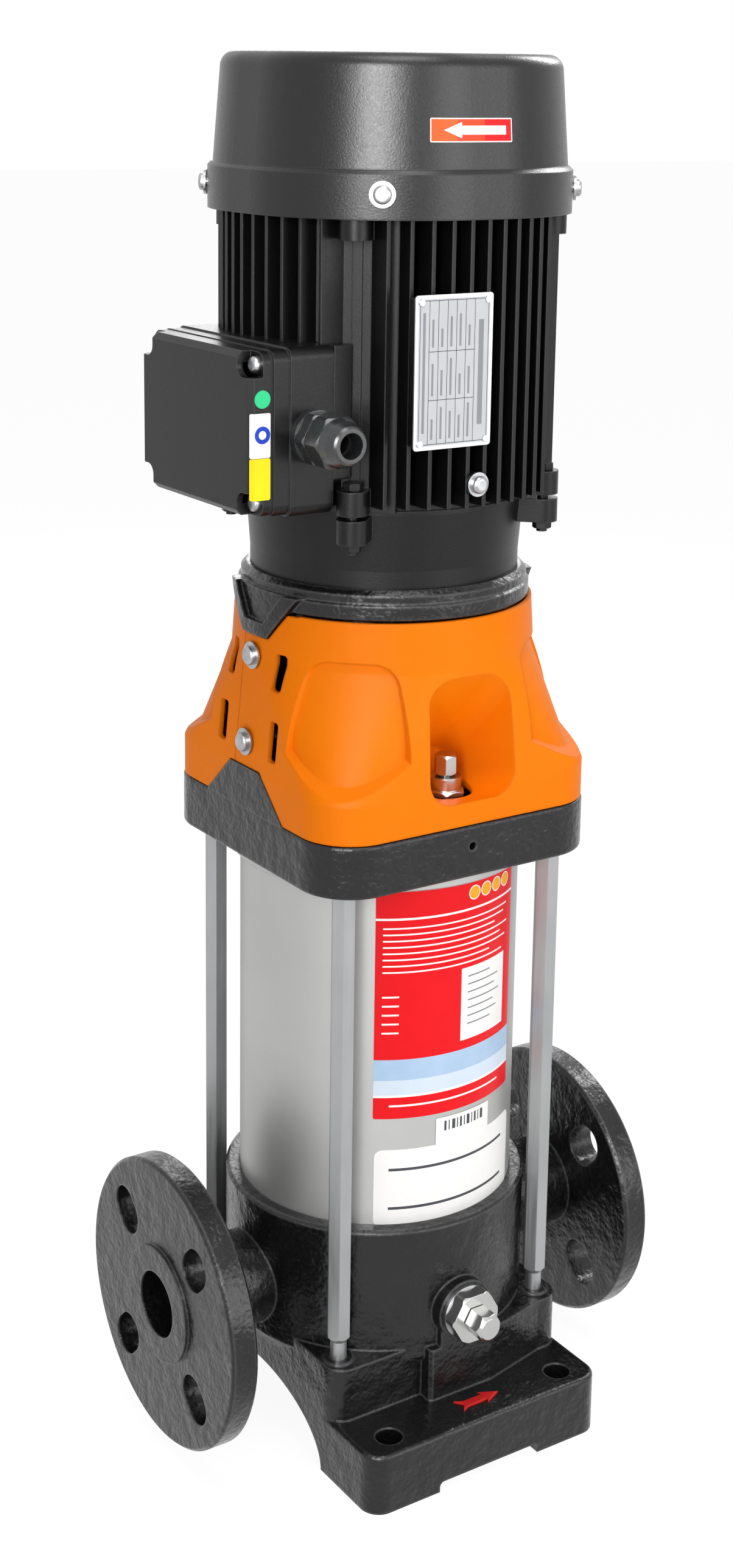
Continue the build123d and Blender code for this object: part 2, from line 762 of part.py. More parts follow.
def corner_panel(offset):
    """What is pressed in at one corner of the guard, grown by an offset."""
    start = panel_start - offset
    top = flange_level - panel_top_drop + offset
    wedge = block(start, 140, start, 140, lip_top - 20, top)
    top_edges = (wedge.edges() | Axis.X) + (wedge.edges() | Axis.Y)
    inner = [e for e in top_edges if e.center().Z > top - 1
             and min(e.center().X, e.center().Y) < start + 1]
    wedge = fillet(inner, panel_corner)
    ledge = Rot(0, 0, 45) * Pos(guard_base_half * 1.18, 0, lip_top + panel_ledge_height - offset)
    above = ledge * Rot(0, panel_ledge_angle, 0) * Pos(0, 0, 100) * Box(400, 400, 200)
    return (wedge & above) - skin(offset, panel_depth_base, panel_depth_waist, 40)


def face_reach(level):
    """Outside of the guard's side face at a level, from the axis."""
    share = (level - band_top) / (waist_level - band_top)
    share = min(max(share, 0.0), 1.0)
    return guard_base_half + share * (guard_waist_radius - guard_base_half)


def boss_reach(level):
    """End of a pillar's screw boss: just under the guard's tongue."""
    return face_reach(level + 5.0) - guard_wall - guard_tongue - 0.6


def rounded_slot(width, length, corner, y, z):
    """Slot cut through a side face, along X."""
    outline = Plane.YZ * RectangleRounded(width, length, corner)
    return Pos(0, y, z) * extrude(outline, 100)


def facing_front(reach, level):
    """Plane that looks along -Y at a distance in front of the axis."""
    return Plane(origin=(0, -reach, level), x_dir=(1, 0, 0), z_dir=(0, -1, 0))


def funnel(offset):
    """Space of the funnel that leads to the vent plug, grown by an offset."""
    mouth_level = lip_top + funnel_mouth_height
    back_level = lip_top + funnel_back_height
    mouth = facing_front(funnel_mouth_reach, mouth_level) * RectangleRounded(
        2 * (funnel_half_width + offset), 2 * (funnel_half_height + offset),
        funnel_corner + offset)
    back = facing_front(funnel_back_reach - offset, back_level) * RectangleRounded(
        2 * (funnel_back_half + offset), 2 * (funnel_back_half + offset),
        funnel_back_corner + offset)
    return loft([mouth, back], ruled=True)


def guard_shell():
    """Both guards as one pressed shell, before it is split and pierced."""
    outside = skin(0, 0, 0, 0)
    inside = skin(guard_wall, 0, 0, 10)
    for angle in (0, 90, 180, 270):
        outside -= Rot(0, 0, angle) * corner_panel(0)
        inside -= Rot(0, 0, angle) * corner_panel(guard_wall)
    return outside - inside


def side_cuts():
    """Openings shared by both guards on one side face."""
    cuts = plate_yz(peak_points(guard_gap), 40, 100) + plate_yz(lug_points(guard_gap), 40, 100)
    cuts += plate_yz([(-top_ring_radius * 0.4, guard_top - 0.5),
                      (top_ring_radius * 0.4, guard_top - 0.5),
                      (top_ring_radius * 0.4, guard_top + 20),
                      (-top_ring_radius * 0.4, guard_top + 20)], 40, 100)
    for sign in (-1, 1):
        cuts += rounded_slot(vent_slot_width, upper_slot_length, vent_slot_corner,
                             sign * upper_slot_offset, flange_level - upper_slot_drop)
        cuts += rounded_slot(vent_slot_width, lower_slot_length, vent_slot_corner,
                             sign * lower_slot_offset, flange_level - lower_slot_drop)
    for drop in guard_screw_drops:
        cuts += rod_x(guard_screw / 2, 40, 100, 0, flange_level - drop)
    return cuts


def seam_space(low_y, high_y):
    """Everything between two Y stations."""
    return block(-120, 120, low_y, high_y, lip_top - 10, flange_level + 10)


def guard_front(shell):
    guard = shell & seam_space(-120, guard_seam)
    guard += funnel(guard_wall) & skin(0.2, 0, 0, 0)
    guard -= funnel(0)
    guard -= rod(funnel_hole / 2, lip_top, lip_top + funnel_back_height, 0, -vent_offset)
    return guard - both_sides(side_cuts())


def guard_rear(shell):
    guard = shell & seam_space(guard_seam + guard_gap, 120)
    under = skin(guard_wall, 0, 0, 0) - skin(guard_wall + guard_tongue, 0, 0, 10)
    guard += under & seam_space(-guard_screw_head, guard_seam + 8)
    return guard - both_sides(side_cuts())


def side_screws(part):
    """Places a screw part, drawn along +Z from its seat, at each guard screw."""
    placed = []
    for drop in guard_screw_drops:
        level = flange_level - drop
        lean = guard_washer_diameter / 2 * (guard_base_half - guard_waist_radius) / (
            waist_level - band_top)
        reach = face_reach(level) + abs(lean)
        for angle in (0, 180):
            placed.append(Rot(0, 0, angle) * Pos(reach, 0, level) * Rot(0, 90, 0) * part)
    return group(placed)


def pan_screw(shank, head, head_height, seat, length):
    """Pan-head screw along +Z whose head sits at the given seat height."""
    top = Pos(0, 0, seat + head_height / 2) * Cylinder(head / 2, head_height)
    top = fillet(top.edges().group_by(Axis.Z)[-1], head_height * 0.6)
    return top + Pos(0, 0, seat - length / 2) * Cylinder(shank / 2, length)


def flat_washer(outer, hole, thickness):
    """Washer standing on its own XY plane."""
    ring = Pos(0, 0, thickness / 2) * Cylinder(outer / 2, thickness)
    return ring - Cylinder(hole / 2, 4 * thickness)


# --- Coupling ---
def coupling_bolt_places():
    inset = coupling_bolt_inset
    levels = (coupling_bottom + inset, coupling_top - inset)
    return [(x * coupling_bolt_offset, z) for x in (-1, 1) for z in levels]


def coupling_half(side):
    shell = rod(coupling_diameter / 2, coupling_bottom, coupling_top)
    shell = chamfer(shell.edges(), 1.5)
    shell -= rod(shaft_diameter / 2, coupling_middle, coupling_top + 1)
    shell -= rod(pump_shaft_diameter / 2, coupling_bottom - 1, coupling_middle)
    shell -= rod_x(coupling_pin / 2, -coupling_pin_half(), coupling_pin_half(), 0, pin_level())
    near, far = sorted((side * coupling_gap / 2, side * coupling_diameter))
    shell = shell & block(-100, 100, near, far, coupling_bottom, coupling_top)
    depth = coupling_head_depth()
    for x, z in coupling_bolt_places():
        shell -= rod_y(coupling_bolt / 2, -coupling_diameter, coupling_diameter, x, z)
        shell -= rod_y(coupling_bolt_hex * 0.62, side * depth, side * coupling_diameter, x, z)
    return shell


def coupling_pin_half():
    return pump_shaft_diameter / 2 + 6.0


def coupling_head_depth():
    """Seat of the bolt heads and nuts, from the coupling's split plane."""
    return coupling_diameter / 2 * 0.4


def coupling_bolts():
    depth = coupling_head_depth()
    bolts = []
    for x, z in coupling_bolt_places():
        bolt = rod_y(coupling_bolt / 2, -depth, depth, x, z)
        bolt += Pos(x, -depth, z) * Rot(90, 0, 0) * hexagon(coupling_bolt_hex, 4)
        bolt += Pos(x, depth + 4, z) * Rot(90, 0, 0) * hexagon(coupling_bolt_hex, 4)
        bolts.append(bolt)
    return group(bolts)


def cross_pin():
    return rod_x(coupling_pin / 2, -coupling_pin_half(), coupling_pin_half(), 0, pin_level())


# --- Motor ---
def corner_ear(low, high, x=ear_circle / 2):
    """Bolt ear on the diagonal at +X, joined back to the body."""
    ear = rod(ear_radius, low, high, x)
    return ear + block(frame_root_radius - 6, x, -ear_radius, ear_radius, low, high)


def drive_end_shield():
    foot = flange_level
    spigot = motor_spigot / 2 - slip_clearance
    wall = frame_bore / 2
    lower_seat = flange_level + shield_height - 24
    shield = turned([
        (bearing_outer / 2 - 5, foot - motor_spigot_depth + 0.5),
        (spigot, foot - motor_spigot_depth + 0.5), (spigot, foot),
        (shield_foot_radius, foot), (shield_foot_radius, foot + 8),
        (shield_radius, frame_bottom - ear_gap), (shield_radius, frame_bottom),
        (wall, frame_bottom), (wall - shield_wall, frame_bottom - 4),
        (wall - shield_wall - 8, lower_seat), (bearing_outer / 2 + 6, lower_seat),
        (bearing_outer / 2 + 6, lower_seat + bearing_width),
        (bearing_outer / 2, lower_seat + bearing_width), (bearing_outer / 2, lower_seat),
        (bearing_outer / 2 - 5, lower_seat)])
    ears_high = frame_bottom - ear_gap
    for angle in quarter_turns:
        shield += Rot(0, 0, angle) * (
            corner_ear(ears_high - ear_height, ears_high)
            - rod(wall - shield_wall, ears_high - 20, ears_high + 5))
    for angle in quarter_turns:
        shield -= Rot(0, 0, angle) * rod(tie_bolt / 2, ears_high - 20, ears_high + 5,
                                         ear_circle / 2)
        shield -= Rot(0, 0, angle) * rod(motor_bolt / 2 - 0.6, foot - 1, foot + 12,
                                         motor_bolt_circle / 2)
    return shield


def fin(offset):
    """One straight fin on the -Y side, out to the tip circle."""
    tip = sqrt(fin_tip_radius ** 2 - (abs(offset) + fin_thickness / 2) ** 2)
    root = sqrt(max(frame_root_radius ** 2 - (abs(offset) + fin_thickness) ** 2, 0)) - 2
    half = fin_thickness / 2
    return block(offset - half, offset + half, -tip, -root, frame_bottom + fin_start,
                 frame_top)


def motor_frame():
    frame = rod(frame_root_radius, frame_bottom, frame_top)
    offsets = [k * fin_pitch for k in range(-fin_count_half, fin_count_half + 1)]
    fins = [fin(offset) for offset in offsets]
    for quarter in (0, 90, 180, 270):
        for one in fins:
            frame += Rot(0, 0, quarter) * one
    flat_depth = corner_flat_radius - frame_bore / 2 - 4
    for angle in quarter_turns:
        corner = block(corner_flat_radius - flat_depth, corner_flat_radius,
                       -corner_flat_width / 2, corner_flat_width / 2, frame_bottom, frame_top)
        corner += block(corner_flat_radius - 1, corner_flat_radius + corner_rib_proud,
                        -corner_rib_width / 2, corner_rib_width / 2, frame_bottom, frame_top)
        corner += corner_ear(frame_bottom, frame_bottom + ear_height)
        corner += corner_ear(frame_top - top_ear_height, frame_top)
        corner -= rod(tie_bolt / 2, frame_bottom - 1, frame_bottom + ear_height + 1,
                      ear_circle / 2)
        frame += Rot(0, 0, angle) * corner
    plate_z = frame_bottom + plate_level
    frame += block(plate_centre_x - plate_width / 2 + 1.5, plate_centre_x + plate_width / 2 - 1.5,
                   -plate_front(), -plate_front() + plate_pad,
                   plate_z - plate_height / 2 + 1.5, plate_z + plate_height / 2 - 1.5)
    frame += rod_y(earth_boss / 2, -fin_tip_radius - 0.5, -frame_root_radius + 3, earth_x,
                   frame_bottom + earth_level)
    frame += side_pad()
    frame -= rod(frame_bore / 2, frame_bottom - 1, frame_top + 1)
    frame -= box_seat()
    frame -= rod_y(earth_screw / 2, -fin_tip_radius - 1, -fin_tip_radius + 8, earth_x,
                   frame_bottom + earth_level)
    for x, z in rivet_places():
        frame -= rod_y(rivet_diameter / 2 * 0.6, -plate_front() - 1, -plate_front() + 3, x, z)
    return frame


def side_pad():
    """Machined strip with two screwed bosses on the +X side."""
    reach = fin_tip_radius + 1.0
    middle = frame_bottom + frame_height / 2
    pad = block(frame_root_radius - 2, reach, -9, 9, middle - 50, middle + 50)
    for level in (middle - 37, middle + 37):
        pad += rod_x(5, reach - 1, reach + 2.5, 0, level)
    return pad


def plate_front():
    """Plane the nameplate is riveted to, in front of the axis."""
    return fin_tip_radius + 0.6


def rivet_places():
    level = frame_bottom + plate_level
    dx, dz = plate_width / 2 - 3, plate_height / 2 - 3
    return [(plate_centre_x + sx * dx, level + sz * dz) for sx in (-1, 1) for sz in (-1, 1)]


def nameplate():
    level = frame_bottom + plate_level
    outline = Plane.XZ * RectangleRounded(plate_width, plate_height, 1.5)
    plate = Pos(plate_centre_x, -plate_front(), level) * extrude(outline, plate_thickness)
    for x, z in rivet_places():
        plate -= rod_y(rivet_diameter / 2 * 0.6, -plate_front() - 3, -plate_front() + 3, x, z)
    return plate


def nameplate_rivets():
    rivets = []
    front = plate_front() + plate_thickness
    for x, z in rivet_places():
        rivet = rod_y(rivet_diameter / 2, -front - rivet_height, -front, x, z)
        rivets.append(rivet + rod_y(rivet_diameter / 2 * 0.6, -front, -plate_front() + 3, x, z))
    return group(rivets)


def earth_terminal():
    face = fin_tip_radius + 0.5
    washer = flat_washer(earth_washer_diameter, earth_screw, 1.2)
    screw = pan_screw(earth_screw, earth_screw_head, 3.0, 1.2, 8.0)
    place = Pos(earth_x, -face, frame_bottom + earth_level) * Rot(90, 0, 0)
    return group([place * washer, place * screw])


def tie_bolts():
    low = frame_bottom - ear_gap - ear_height - tie_head_height
    high = frame_bottom + ear_height
    bolt = Pos(0, 0, high) * hex_nut(tie_bolt_hex, tie_head_height)
    bolt += rod(tie_bolt / 2, low - 1.5, high)
    bolt += Pos(0, 0, low) * hex_nut(tie_bolt_hex, tie_head_height)
    return group([Rot(0, 0, a) * Pos(ear_circle / 2, 0, 0) * bolt for a in quarter_turns])


def motor_flange_bolts():
    low = ring_bottom - 5.3
    bolt = Pos(0, 0, low) * hexagon(motor_bolt_hex, 5.3)
    bolt += rod(motor_bolt / 2 - 0.6, ring_bottom, flange_level + 10)
    return group([Rot(0, 0, a) * Pos(motor_bolt_circle / 2, 0, 0) * bolt
                  for a in quarter_turns])


def rear_end_shield():
    seat = frame_top - bearing_width - 1
    plate_top = frame_top + rear_plate_height
    shield = turned([
        (bearing_shaft / 2 + 3, frame_top + 2), (bearing_outer / 2, frame_top - 1),
        (bearing_outer / 2, seat), (bearing_outer / 2 + 6, seat),
        (bearing_outer / 2 + 6, frame_top - 4), (frame_bore / 2 - slip_clearance, frame_top - 4),
        (frame_bore / 2 - slip_clearance, frame_top), (frame_root_radius + 5, frame_top),
        (frame_root_radius + 5, plate_top - 3), (frame_root_radius + 2, plate_top),
        (bearing_shaft / 2 + 3, plate_top)])
    level = frame_top + rear_boss_height
    for quarter in range(4):
        boss = rod_x(rear_boss_radius, frame_root_radius - 12, cowl_inside() - 0.8, 0, level)
        boss += block(frame_root_radius - 12, frame_root_radius + 2, -rear_boss_radius,
                      rear_boss_radius, plate_top - 1, level)
        boss -= rod_x(cowl_screw / 2, frame_root_radius, cowl_inside() + 1, 0, level)
        shield += Rot(0, 0, cowl_screw_angle + 90 * quarter) * boss
    return shield - rod_x_slots(level)


def rod_x_slots(level):
    """Screw holes again, through whatever the bosses joined."""
    holes = None
    for quarter in range(4):
        hole = Rot(0, 0, cowl_screw_angle + 90 * quarter) * rod_x(
            cowl_screw / 2, frame_root_radius, cowl_inside() + 1, 0, level)
        holes = hole if holes is None else holes + hole
    return holes


def cowl_inside():
    """Distance from the axis to the inside of the skirt at a cowl screw."""
    return cowl_outside() - cowl_wall


def cowl_outside():
    """Distance from the axis to the outside of the skirt at a cowl screw."""
    angle = radians(min(cowl_screw_angle % 90, 90 - cowl_screw_angle % 90))
    centre = cowl_skirt_half - cowl_skirt_corner
    along = centre * (cos(angle) + sin(angle))
    across = centre * (cos(angle) - sin(angle))
    return along + sqrt(cowl_skirt_corner ** 2 - across ** 2)


def cowl_body(offset):
    """Cowl as a filled form, shrunk by an offset."""
    skirt_top = cowl_bottom + cowl_skirt_height
    skirt = cushion(cowl_skirt_half - offset, cowl_skirt_half - offset,
                    cowl_skirt_corner - offset, cowl_bottom - (5 if offset else 0),
                    skirt_top - offset)
    low_half, top_half = cowl_half - offset, cowl_top_half - offset
    low = Pos(0, 0, skirt_top - offset - 2) * RectangleRounded(
        2 * low_half, 2 * low_half, cowl_corner - offset)
    high = Pos(0, 0, cowl_top - offset) * RectangleRounded(
        2 * top_half, 2 * top_half, cowl_corner - offset - (cowl_half - cowl_top_half))
    dome = loft([low, high], ruled=True)
    dome = fillet(dome.edges().group_by(Axis.Z)[-1], cowl_round - offset)
    if not offset:
        skirt = chamfer(skirt.edges().group_by(Axis.Z)[-1],
                        (cowl_skirt_half - cowl_half) * 0.8)
    return skirt + dome


def fan_cowl():
    cowl = cowl_body(0) - cowl_body(cowl_wall)
    for ring in range(grille_rings):
        inner = grille_first + ring * grille_step
        slot = pipe(inner + grille_slot, inner, cowl_top - 10, cowl_top + 1)
        for spoke in range(grille_spokes // 2):
            bar = block(-100, 100, -2.5, 2.5, cowl_top - 11, cowl_top + 2)
            slot -= Rot(0, 0, 360 / grille_spokes * (spoke + 0.5)) * bar
        cowl -= slot
    level = frame_top + rear_boss_height
    for quarter in range(4):
        cowl -= Rot(0, 0, cowl_screw_angle + 90 * quarter) * rod_x(
            cowl_screw / 2, frame_root_radius, cowl_outside() + 5, 0, level)
    return cowl


def cowl_screws():
    level = frame_top + rear_boss_height
    washer = flat_washer(cowl_washer_diameter, cowl_screw, cowl_washer_thickness)
    screw = pan_screw(cowl_screw, cowl_screw_head, cowl_screw_head_height,
                      cowl_washer_thickness, 11.0)
    placed = []
    for quarter in range(4):
        place = Rot(0, 0, cowl_screw_angle + 90 * quarter) * Pos(cowl_outside() + 0.45, 0, level)
        place = place * Rot(0, 90, 0)
        placed += [place * washer, place * screw]
    return group(placed)


def fan():
    wheel = pipe(fan_hub / 2, fan_shaft() / 2, fan_bottom, fan_top - 4)
    wheel += pipe(fan_diameter / 2 - 14, fan_shaft() / 2, fan_bottom, fan_bottom + 3)
    blade = block(fan_hub / 2 - 1, fan_diameter / 2, -fan_blade_thickness / 2,
                  fan_blade_thickness / 2, fan_bottom, fan_top)
    for number in range(fan_blades):
        wheel += Rot(0, 0, number * 360 / fan_blades) * blade
    return wheel


def fan_shaft():
    """Reduced end of the motor shaft that carries the fan."""
    return shaft_diameter - 4.0


def motor_shaft():
    lower_seat = lower_bearing_level()
    upper_seat = frame_top - bearing_width - 1
    return turned([
        (0, coupling_middle + shaft_end_gap / 2), (shaft_diameter / 2,
                                                   coupling_middle + shaft_end_gap / 2),
        (shaft_diameter / 2, lower_seat - 2), (bearing_shaft / 2, lower_seat - 2),
        (bearing_shaft / 2, lower_seat + bearing_width + axial_gap),
        (rotor_shaft / 2, lower_seat + bearing_width + axial_gap),
        (rotor_shaft / 2, upper_seat - axial_gap), (bearing_shaft / 2, upper_seat - axial_gap),
        (bearing_shaft / 2, upper_seat + bearing_width + 2),
        (fan_shaft() / 2, upper_seat + bearing_width + 2), (fan_shaft() / 2, fan_top),
        (0, fan_top)])


def lower_bearing_level():
    return flange_level + shield_height - 24


def motor_bearings():
    inner = bearing_shaft / 2 + fit_clearance
    low = lower_bearing_level()
    high = frame_top - bearing_width - 1
    return group([pipe(bearing_outer / 2, inner, level, level + bearing_width)
                  for level in (low, high)])


def core_levels():
    middle = frame_bottom + frame_height / 2 - 4
    return middle - stator_length / 2, middle + stator_length / 2


def rotor_core():
    low, high = core_levels()
    return pipe(stator_bore / 2 - air_gap, rotor_shaft / 2, low, high)


def stator_core():
    low, high = core_levels()
    return pipe(frame_bore / 2, stator_bore / 2, low, high)


def stator_windings():
    low, high = core_levels()
    ends = [(low - winding_height, low), (high, high + winding_height)]
    return group([pipe(winding_outer / 2, winding_inner / 2, a, b) for a, b in ends])


# --- Terminal box ---
def box_form(start, end, shrink):
    """Rounded block lying along -X between two distances from the axis."""
    outline = Plane.YZ * RectangleRounded(2 * (box_half_width - shrink),
                                          box_height - 2 * shrink, box_corner)
    return Pos(-end, 0, box_middle) * extrude(outline, end - start)


def box_seat():
    """Part of the fins and corners cut away where the terminal box sits."""
    clear = box_form(frame_seat(), box_rim_reach, 0)
    return clear


def frame_seat():
    """Plane on the frame that carries the terminal box, from the axis."""
    return frame_bore / 2 + 3.0


def cover_screw_places():
    y = box_half_width - cover_screw_inset
    z = box_height / 2 - cover_screw_inset
    return [(sy * y, box_middle + sz * z) for sy in (-1, 1) for sz in (-1, 1)]


def terminal_box():
    box = box_form(frame_seat(), box_reach, 0)
    box += box_form(box_reach - 1, box_rim_reach, box_rim_step)
    cavity = box_form(frame_seat() + box_wall, box_rim_reach + 1, box_wall + 1)
    for y, z in cover_screw_places():
        cavity -= rod_x(4.5, -box_rim_reach - 1, -frame_seat(), y, z)
    box -= cavity
    box -= rod_y(gland_thread / 2, -box_half_width - 1, -box_half_width + 2 * box_wall, gland_x,
                 gland_height)
    box -= rod_x(14, -frame_seat() - box_wall - 1, -frame_seat() + 1, 0, box_middle)
    for y, z in cover_screw_places():
        box -= rod_x(cover_screw / 2, -box_rim_reach - 1, -box_rim_reach + 8, y, z)
    return box


def terminal_gasket():
    start, end = box_rim_reach, box_rim_reach + gasket_thickness
    gasket = box_form(start, end, box_rim_step + 0.4)
    gasket -= box_form(start - 1, end + 1, box_wall + 2)
    for y, z in cover_screw_places():
        gasket += rod_x(4.2, -end, -start, y, z)
        gasket -= rod_x(cover_screw / 2, -end - 1, -start + 1, y, z)
    return gasket


def terminal_cover():
    start = box_rim_reach + gasket_thickness
    cover = box_form(start, cover_reach, cover_inset)
    outer_face = cover.faces().sort_by(Axis.X)[0]
    cover = chamfer(outer_face.edges(), cover_bevel * 0.5)
    cover -= box_form(start - 1, cover_reach - cover_wall, cover_wall + cover_inset + 2)
    for y, z in cover_screw_places():
        sign_y = 1 if y > 0 else -1
        sign_z = 1 if z > box_middle else -1
        pocket = rod_x(cover_ear / 2 + 1.5, -cover_reach - 1, -cover_ear_reach, y, z)
        pocket += block(-cover_reach - 1, -cover_ear_reach,
                        *sorted((y - sign_y * (cover_ear / 2 + 1.5), y + sign_y * 20)),
                        *sorted((z, z + sign_z * 20)))
        pocket += block(-cover_reach - 1, -cover_ear_reach, *sorted((y, y + sign_y * 20)),
                        *sorted((z - sign_z * (cover_ear / 2 + 1.5), z + sign_z * 20)))
        cover += rod_x(4.5, -cover_ear_reach, -start, y, z)
        cover -= pocket
        cover -= rod_x(cover_screw / 2, -cover_reach, -start + 1, y, z)
    return cover


def terminal_cover_screws():
    screws = []
    for y, z in cover_screw_places():
        screw = pan_screw(cover_screw, cover_screw_head, cover_screw_head_height, 0,
                          cover_ear_reach - box_rim_reach + 7)
        screws.append(Pos(-cover_ear_reach, y, z) * Rot(0, -90, 0) * screw)
    return group(screws)


def terminal_board():
    """Six-stud board on the box floor."""
    seat = frame_seat() + box_wall
    low = box_middle - board_height / 2 - 4
    board = block(-seat - board_thickness, -seat, -board_width / 2, board_width / 2,
                  low, low + board_height)
    for column in (-1, 0, 1):
        for row in (-0.5, 0.5):
            board += rod_x(stud_diameter / 2, -seat - board_thickness - stud_height,
                           -seat - 1, column * stud_pitch,
                           low + board_height / 2 + row * stud_pitch)
    return board - rod_x(14, -seat - 50, -seat + 1, 0, box_middle + 60)


def gland_stack():
    """Stations of the gland along -Y, from the box wall outwards."""
    flange = box_half_width
    hex_start = flange + gland_flange_height
    nut_start = hex_start + gland_hex_height + axial_gap
    dome_start = nut_start + gland_nut_height
    return flange, hex_start, nut_start, dome_start, dome_start + gland_dome_height


def gland_body():
    flange, hex_start, nut_start, dome_start, end = gland_stack()
    body = rod_y(gland_flange / 2, -hex_start, -flange, gland_x, gland_height)
    body += Pos(gland_x, -hex_start, gland_height) * Rot(90, 0, 0) * hex_nut(
        gland_hex, gland_hex_height)
    body += rod_y(gland_thread / 2, -dome_start, -flange + box_wall, gland_x, gland_height)
    return body - rod_y(gland_seal_outer / 2, -dome_start - 1, 0, gland_x, gland_height)


def gland_nut():
    flange, hex_start, nut_start, dome_start, end = gland_stack()
    nut = Pos(0, 0, 0) * hex_nut(gland_nut_hex, gland_nut_height)
    dome = turned([(0, gland_nut_height), (gland_nut_hex / 2, gland_nut_height),
                   (gland_nut_hex / 2 - 0.8, gland_nut_height + gland_dome_height * 0.45),
                   (gland_dome_end / 2 + 1, gland_nut_height + gland_dome_height * 0.9),
                   (gland_dome_end / 2, gland_nut_height + gland_dome_height),
                   (0, gland_nut_height + gland_dome_height)])
    nut += dome
    nut -= Pos(0, 0, gland_nut_height / 2 - 1) * Cylinder(
        gland_thread / 2 + fit_clearance, gland_nut_height + 2.8)
    nut -= Cylinder(gland_bore / 2 + 1, 100)
    return Pos(gland_x, -nut_start, gland_height) * Rot(90, 0, 0) * nut


def gland_seal():
    flange, hex_start, nut_start, dome_start, end = gland_stack()
    ring = rod_y(gland_seal_outer / 2, -dome_start + 0.5, -hex_start, gland_x, gland_height)
    return ring - rod_y(gland_bore / 2, -dome_start - 5, 0, gland_x, gland_height)


# --- All pieces ---
shell = guard_shell()
guard_screw_part = pan_screw(guard_screw, guard_screw_head, guard_screw_head_height,
                             guard_washer_thickness, 14.0)
pieces = {
    "pump_base": pump_base(),
    "drain_washer": drain_washer(),
    "drain_plug": drain_plug(),
    "drain_stem": drain_stem(),
    "sleeve_seals": sleeve_seals(),
    "outer_sleeve": outer_sleeve(),
    "head_cover_plate": head_cover_plate(),
    "stay_bolts": stay_bolts(),
    "stay_nuts": stay_nuts(),
    "stay_washers": stay_washers(),
    "suction_guide": suction_guide(),
    "lower_bush": lower_bush(),
    "stage_chambers": stage_chambers(),
    "impellers": impellers(),
    "outlet_spider": outlet_spider(),
    "pump_shaft": pump_shaft(),
    "seal_gland": seal_gland(),
    "seal_seat": seal_seat(),
    "seal_face": seal_face(),
    "seal_driver": seal_driver(),
    "pump_head": pump_head(),
    "vent_plug": vent_plug(),
    "vent_screw": vent_screw(),
    "guard_front": guard_front(shell),
    "guard_rear": guard_rear(shell),
    "guard_washers": side_screws(flat_washer(guard_washer_diameter, guard_screw,
                                             guard_washer_thickness)),
    "guard_screws": side_screws(guard_screw_part),
    "coupling_half_front": coupling_half(-1),
    "coupling_half_rear": coupling_half(1),
    "coupling_bolts": coupling_bolts(),
    "coupling_pin": cross_pin(),
    "drive_end_shield": drive_end_shield(),
    "motor_frame": motor_frame(),
    "tie_bolts": tie_bolts(),
    "motor_flange_bolts": motor_flange_bolts(),
    "rear_end_shield": rear_end_shield(),
    "fan_cowl": fan_cowl(),
    "cowl_screws": cowl_screws(),
    "fan": fan(),
    "motor_shaft": motor_shaft(),
    "motor_bearings": motor_bearings(),
    "rotor_core": rotor_core(),
    "stator_core": stator_core(),
    "stator_windings": stator_windings(),
    "nameplate": nameplate(),
    "nameplate_rivets": nameplate_rivets(),
    "earth_screw": earth_terminal(),
    "terminal_box": terminal_box(),
    "terminal_gasket": terminal_gasket(),
    "terminal_cover": terminal_cover(),
    "terminal_cover_screws": terminal_cover_screws(),
    "terminal_board": terminal_board(),
    "gland_body": gland_body(),
    "gland_nut": gland_nut(),
    "gland_seal": gland_seal(),
}
for name, piece in pieces.items():
    export_step(piece, f"parts/{name}.step")
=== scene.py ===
import math
import bmesh
import bpy
from mathutils import Matrix, Vector


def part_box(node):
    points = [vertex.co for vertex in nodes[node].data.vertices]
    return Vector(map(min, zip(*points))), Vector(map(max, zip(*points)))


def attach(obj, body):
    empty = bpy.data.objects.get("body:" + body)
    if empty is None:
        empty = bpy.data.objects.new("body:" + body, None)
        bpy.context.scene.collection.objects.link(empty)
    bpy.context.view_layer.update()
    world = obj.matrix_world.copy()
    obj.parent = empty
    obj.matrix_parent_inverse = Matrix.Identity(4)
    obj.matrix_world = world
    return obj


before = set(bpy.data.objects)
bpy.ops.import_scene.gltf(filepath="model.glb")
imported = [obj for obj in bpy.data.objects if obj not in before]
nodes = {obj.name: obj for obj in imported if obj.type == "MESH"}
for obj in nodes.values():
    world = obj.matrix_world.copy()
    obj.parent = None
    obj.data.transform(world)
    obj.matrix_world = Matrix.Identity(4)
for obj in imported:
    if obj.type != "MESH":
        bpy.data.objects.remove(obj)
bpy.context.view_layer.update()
print("frame loaded:", len(nodes), "nodes")


def toLinear(hexColour):
    channels = [int(hexColour[i:i + 2], 16) / 255 for i in (1, 3, 5)]
    linear = [c / 12.92 if c <= 0.04045 else ((c + 0.055) / 1.055) ** 2.4 for c in channels]
    return (*linear, 1.0)


def addNode(tree, kind, sockets=None, links=None, **settings):
    node = tree.nodes.new(kind)
    for name, value in settings.items():
        setattr(node, name, value)
    for name, value in (sockets or {}).items():
        node.inputs[name].default_value = value
    for name, source in (links or {}).items():
        tree.links.new(source, node.inputs[name])
    return node


def perMm(size):
    return 1000.0 / size        # pattern repeats per metre, for a feature this many mm wide


def emptyMaterial(name):
    material = bpy.data.materials.new(name)
    material.use_nodes = True
    material.node_tree.nodes.clear()
    return material, material.node_tree


mixSocket = {"factor": 0, "first": 6, "second": 7, "result": 2}     # of a colour Mix node

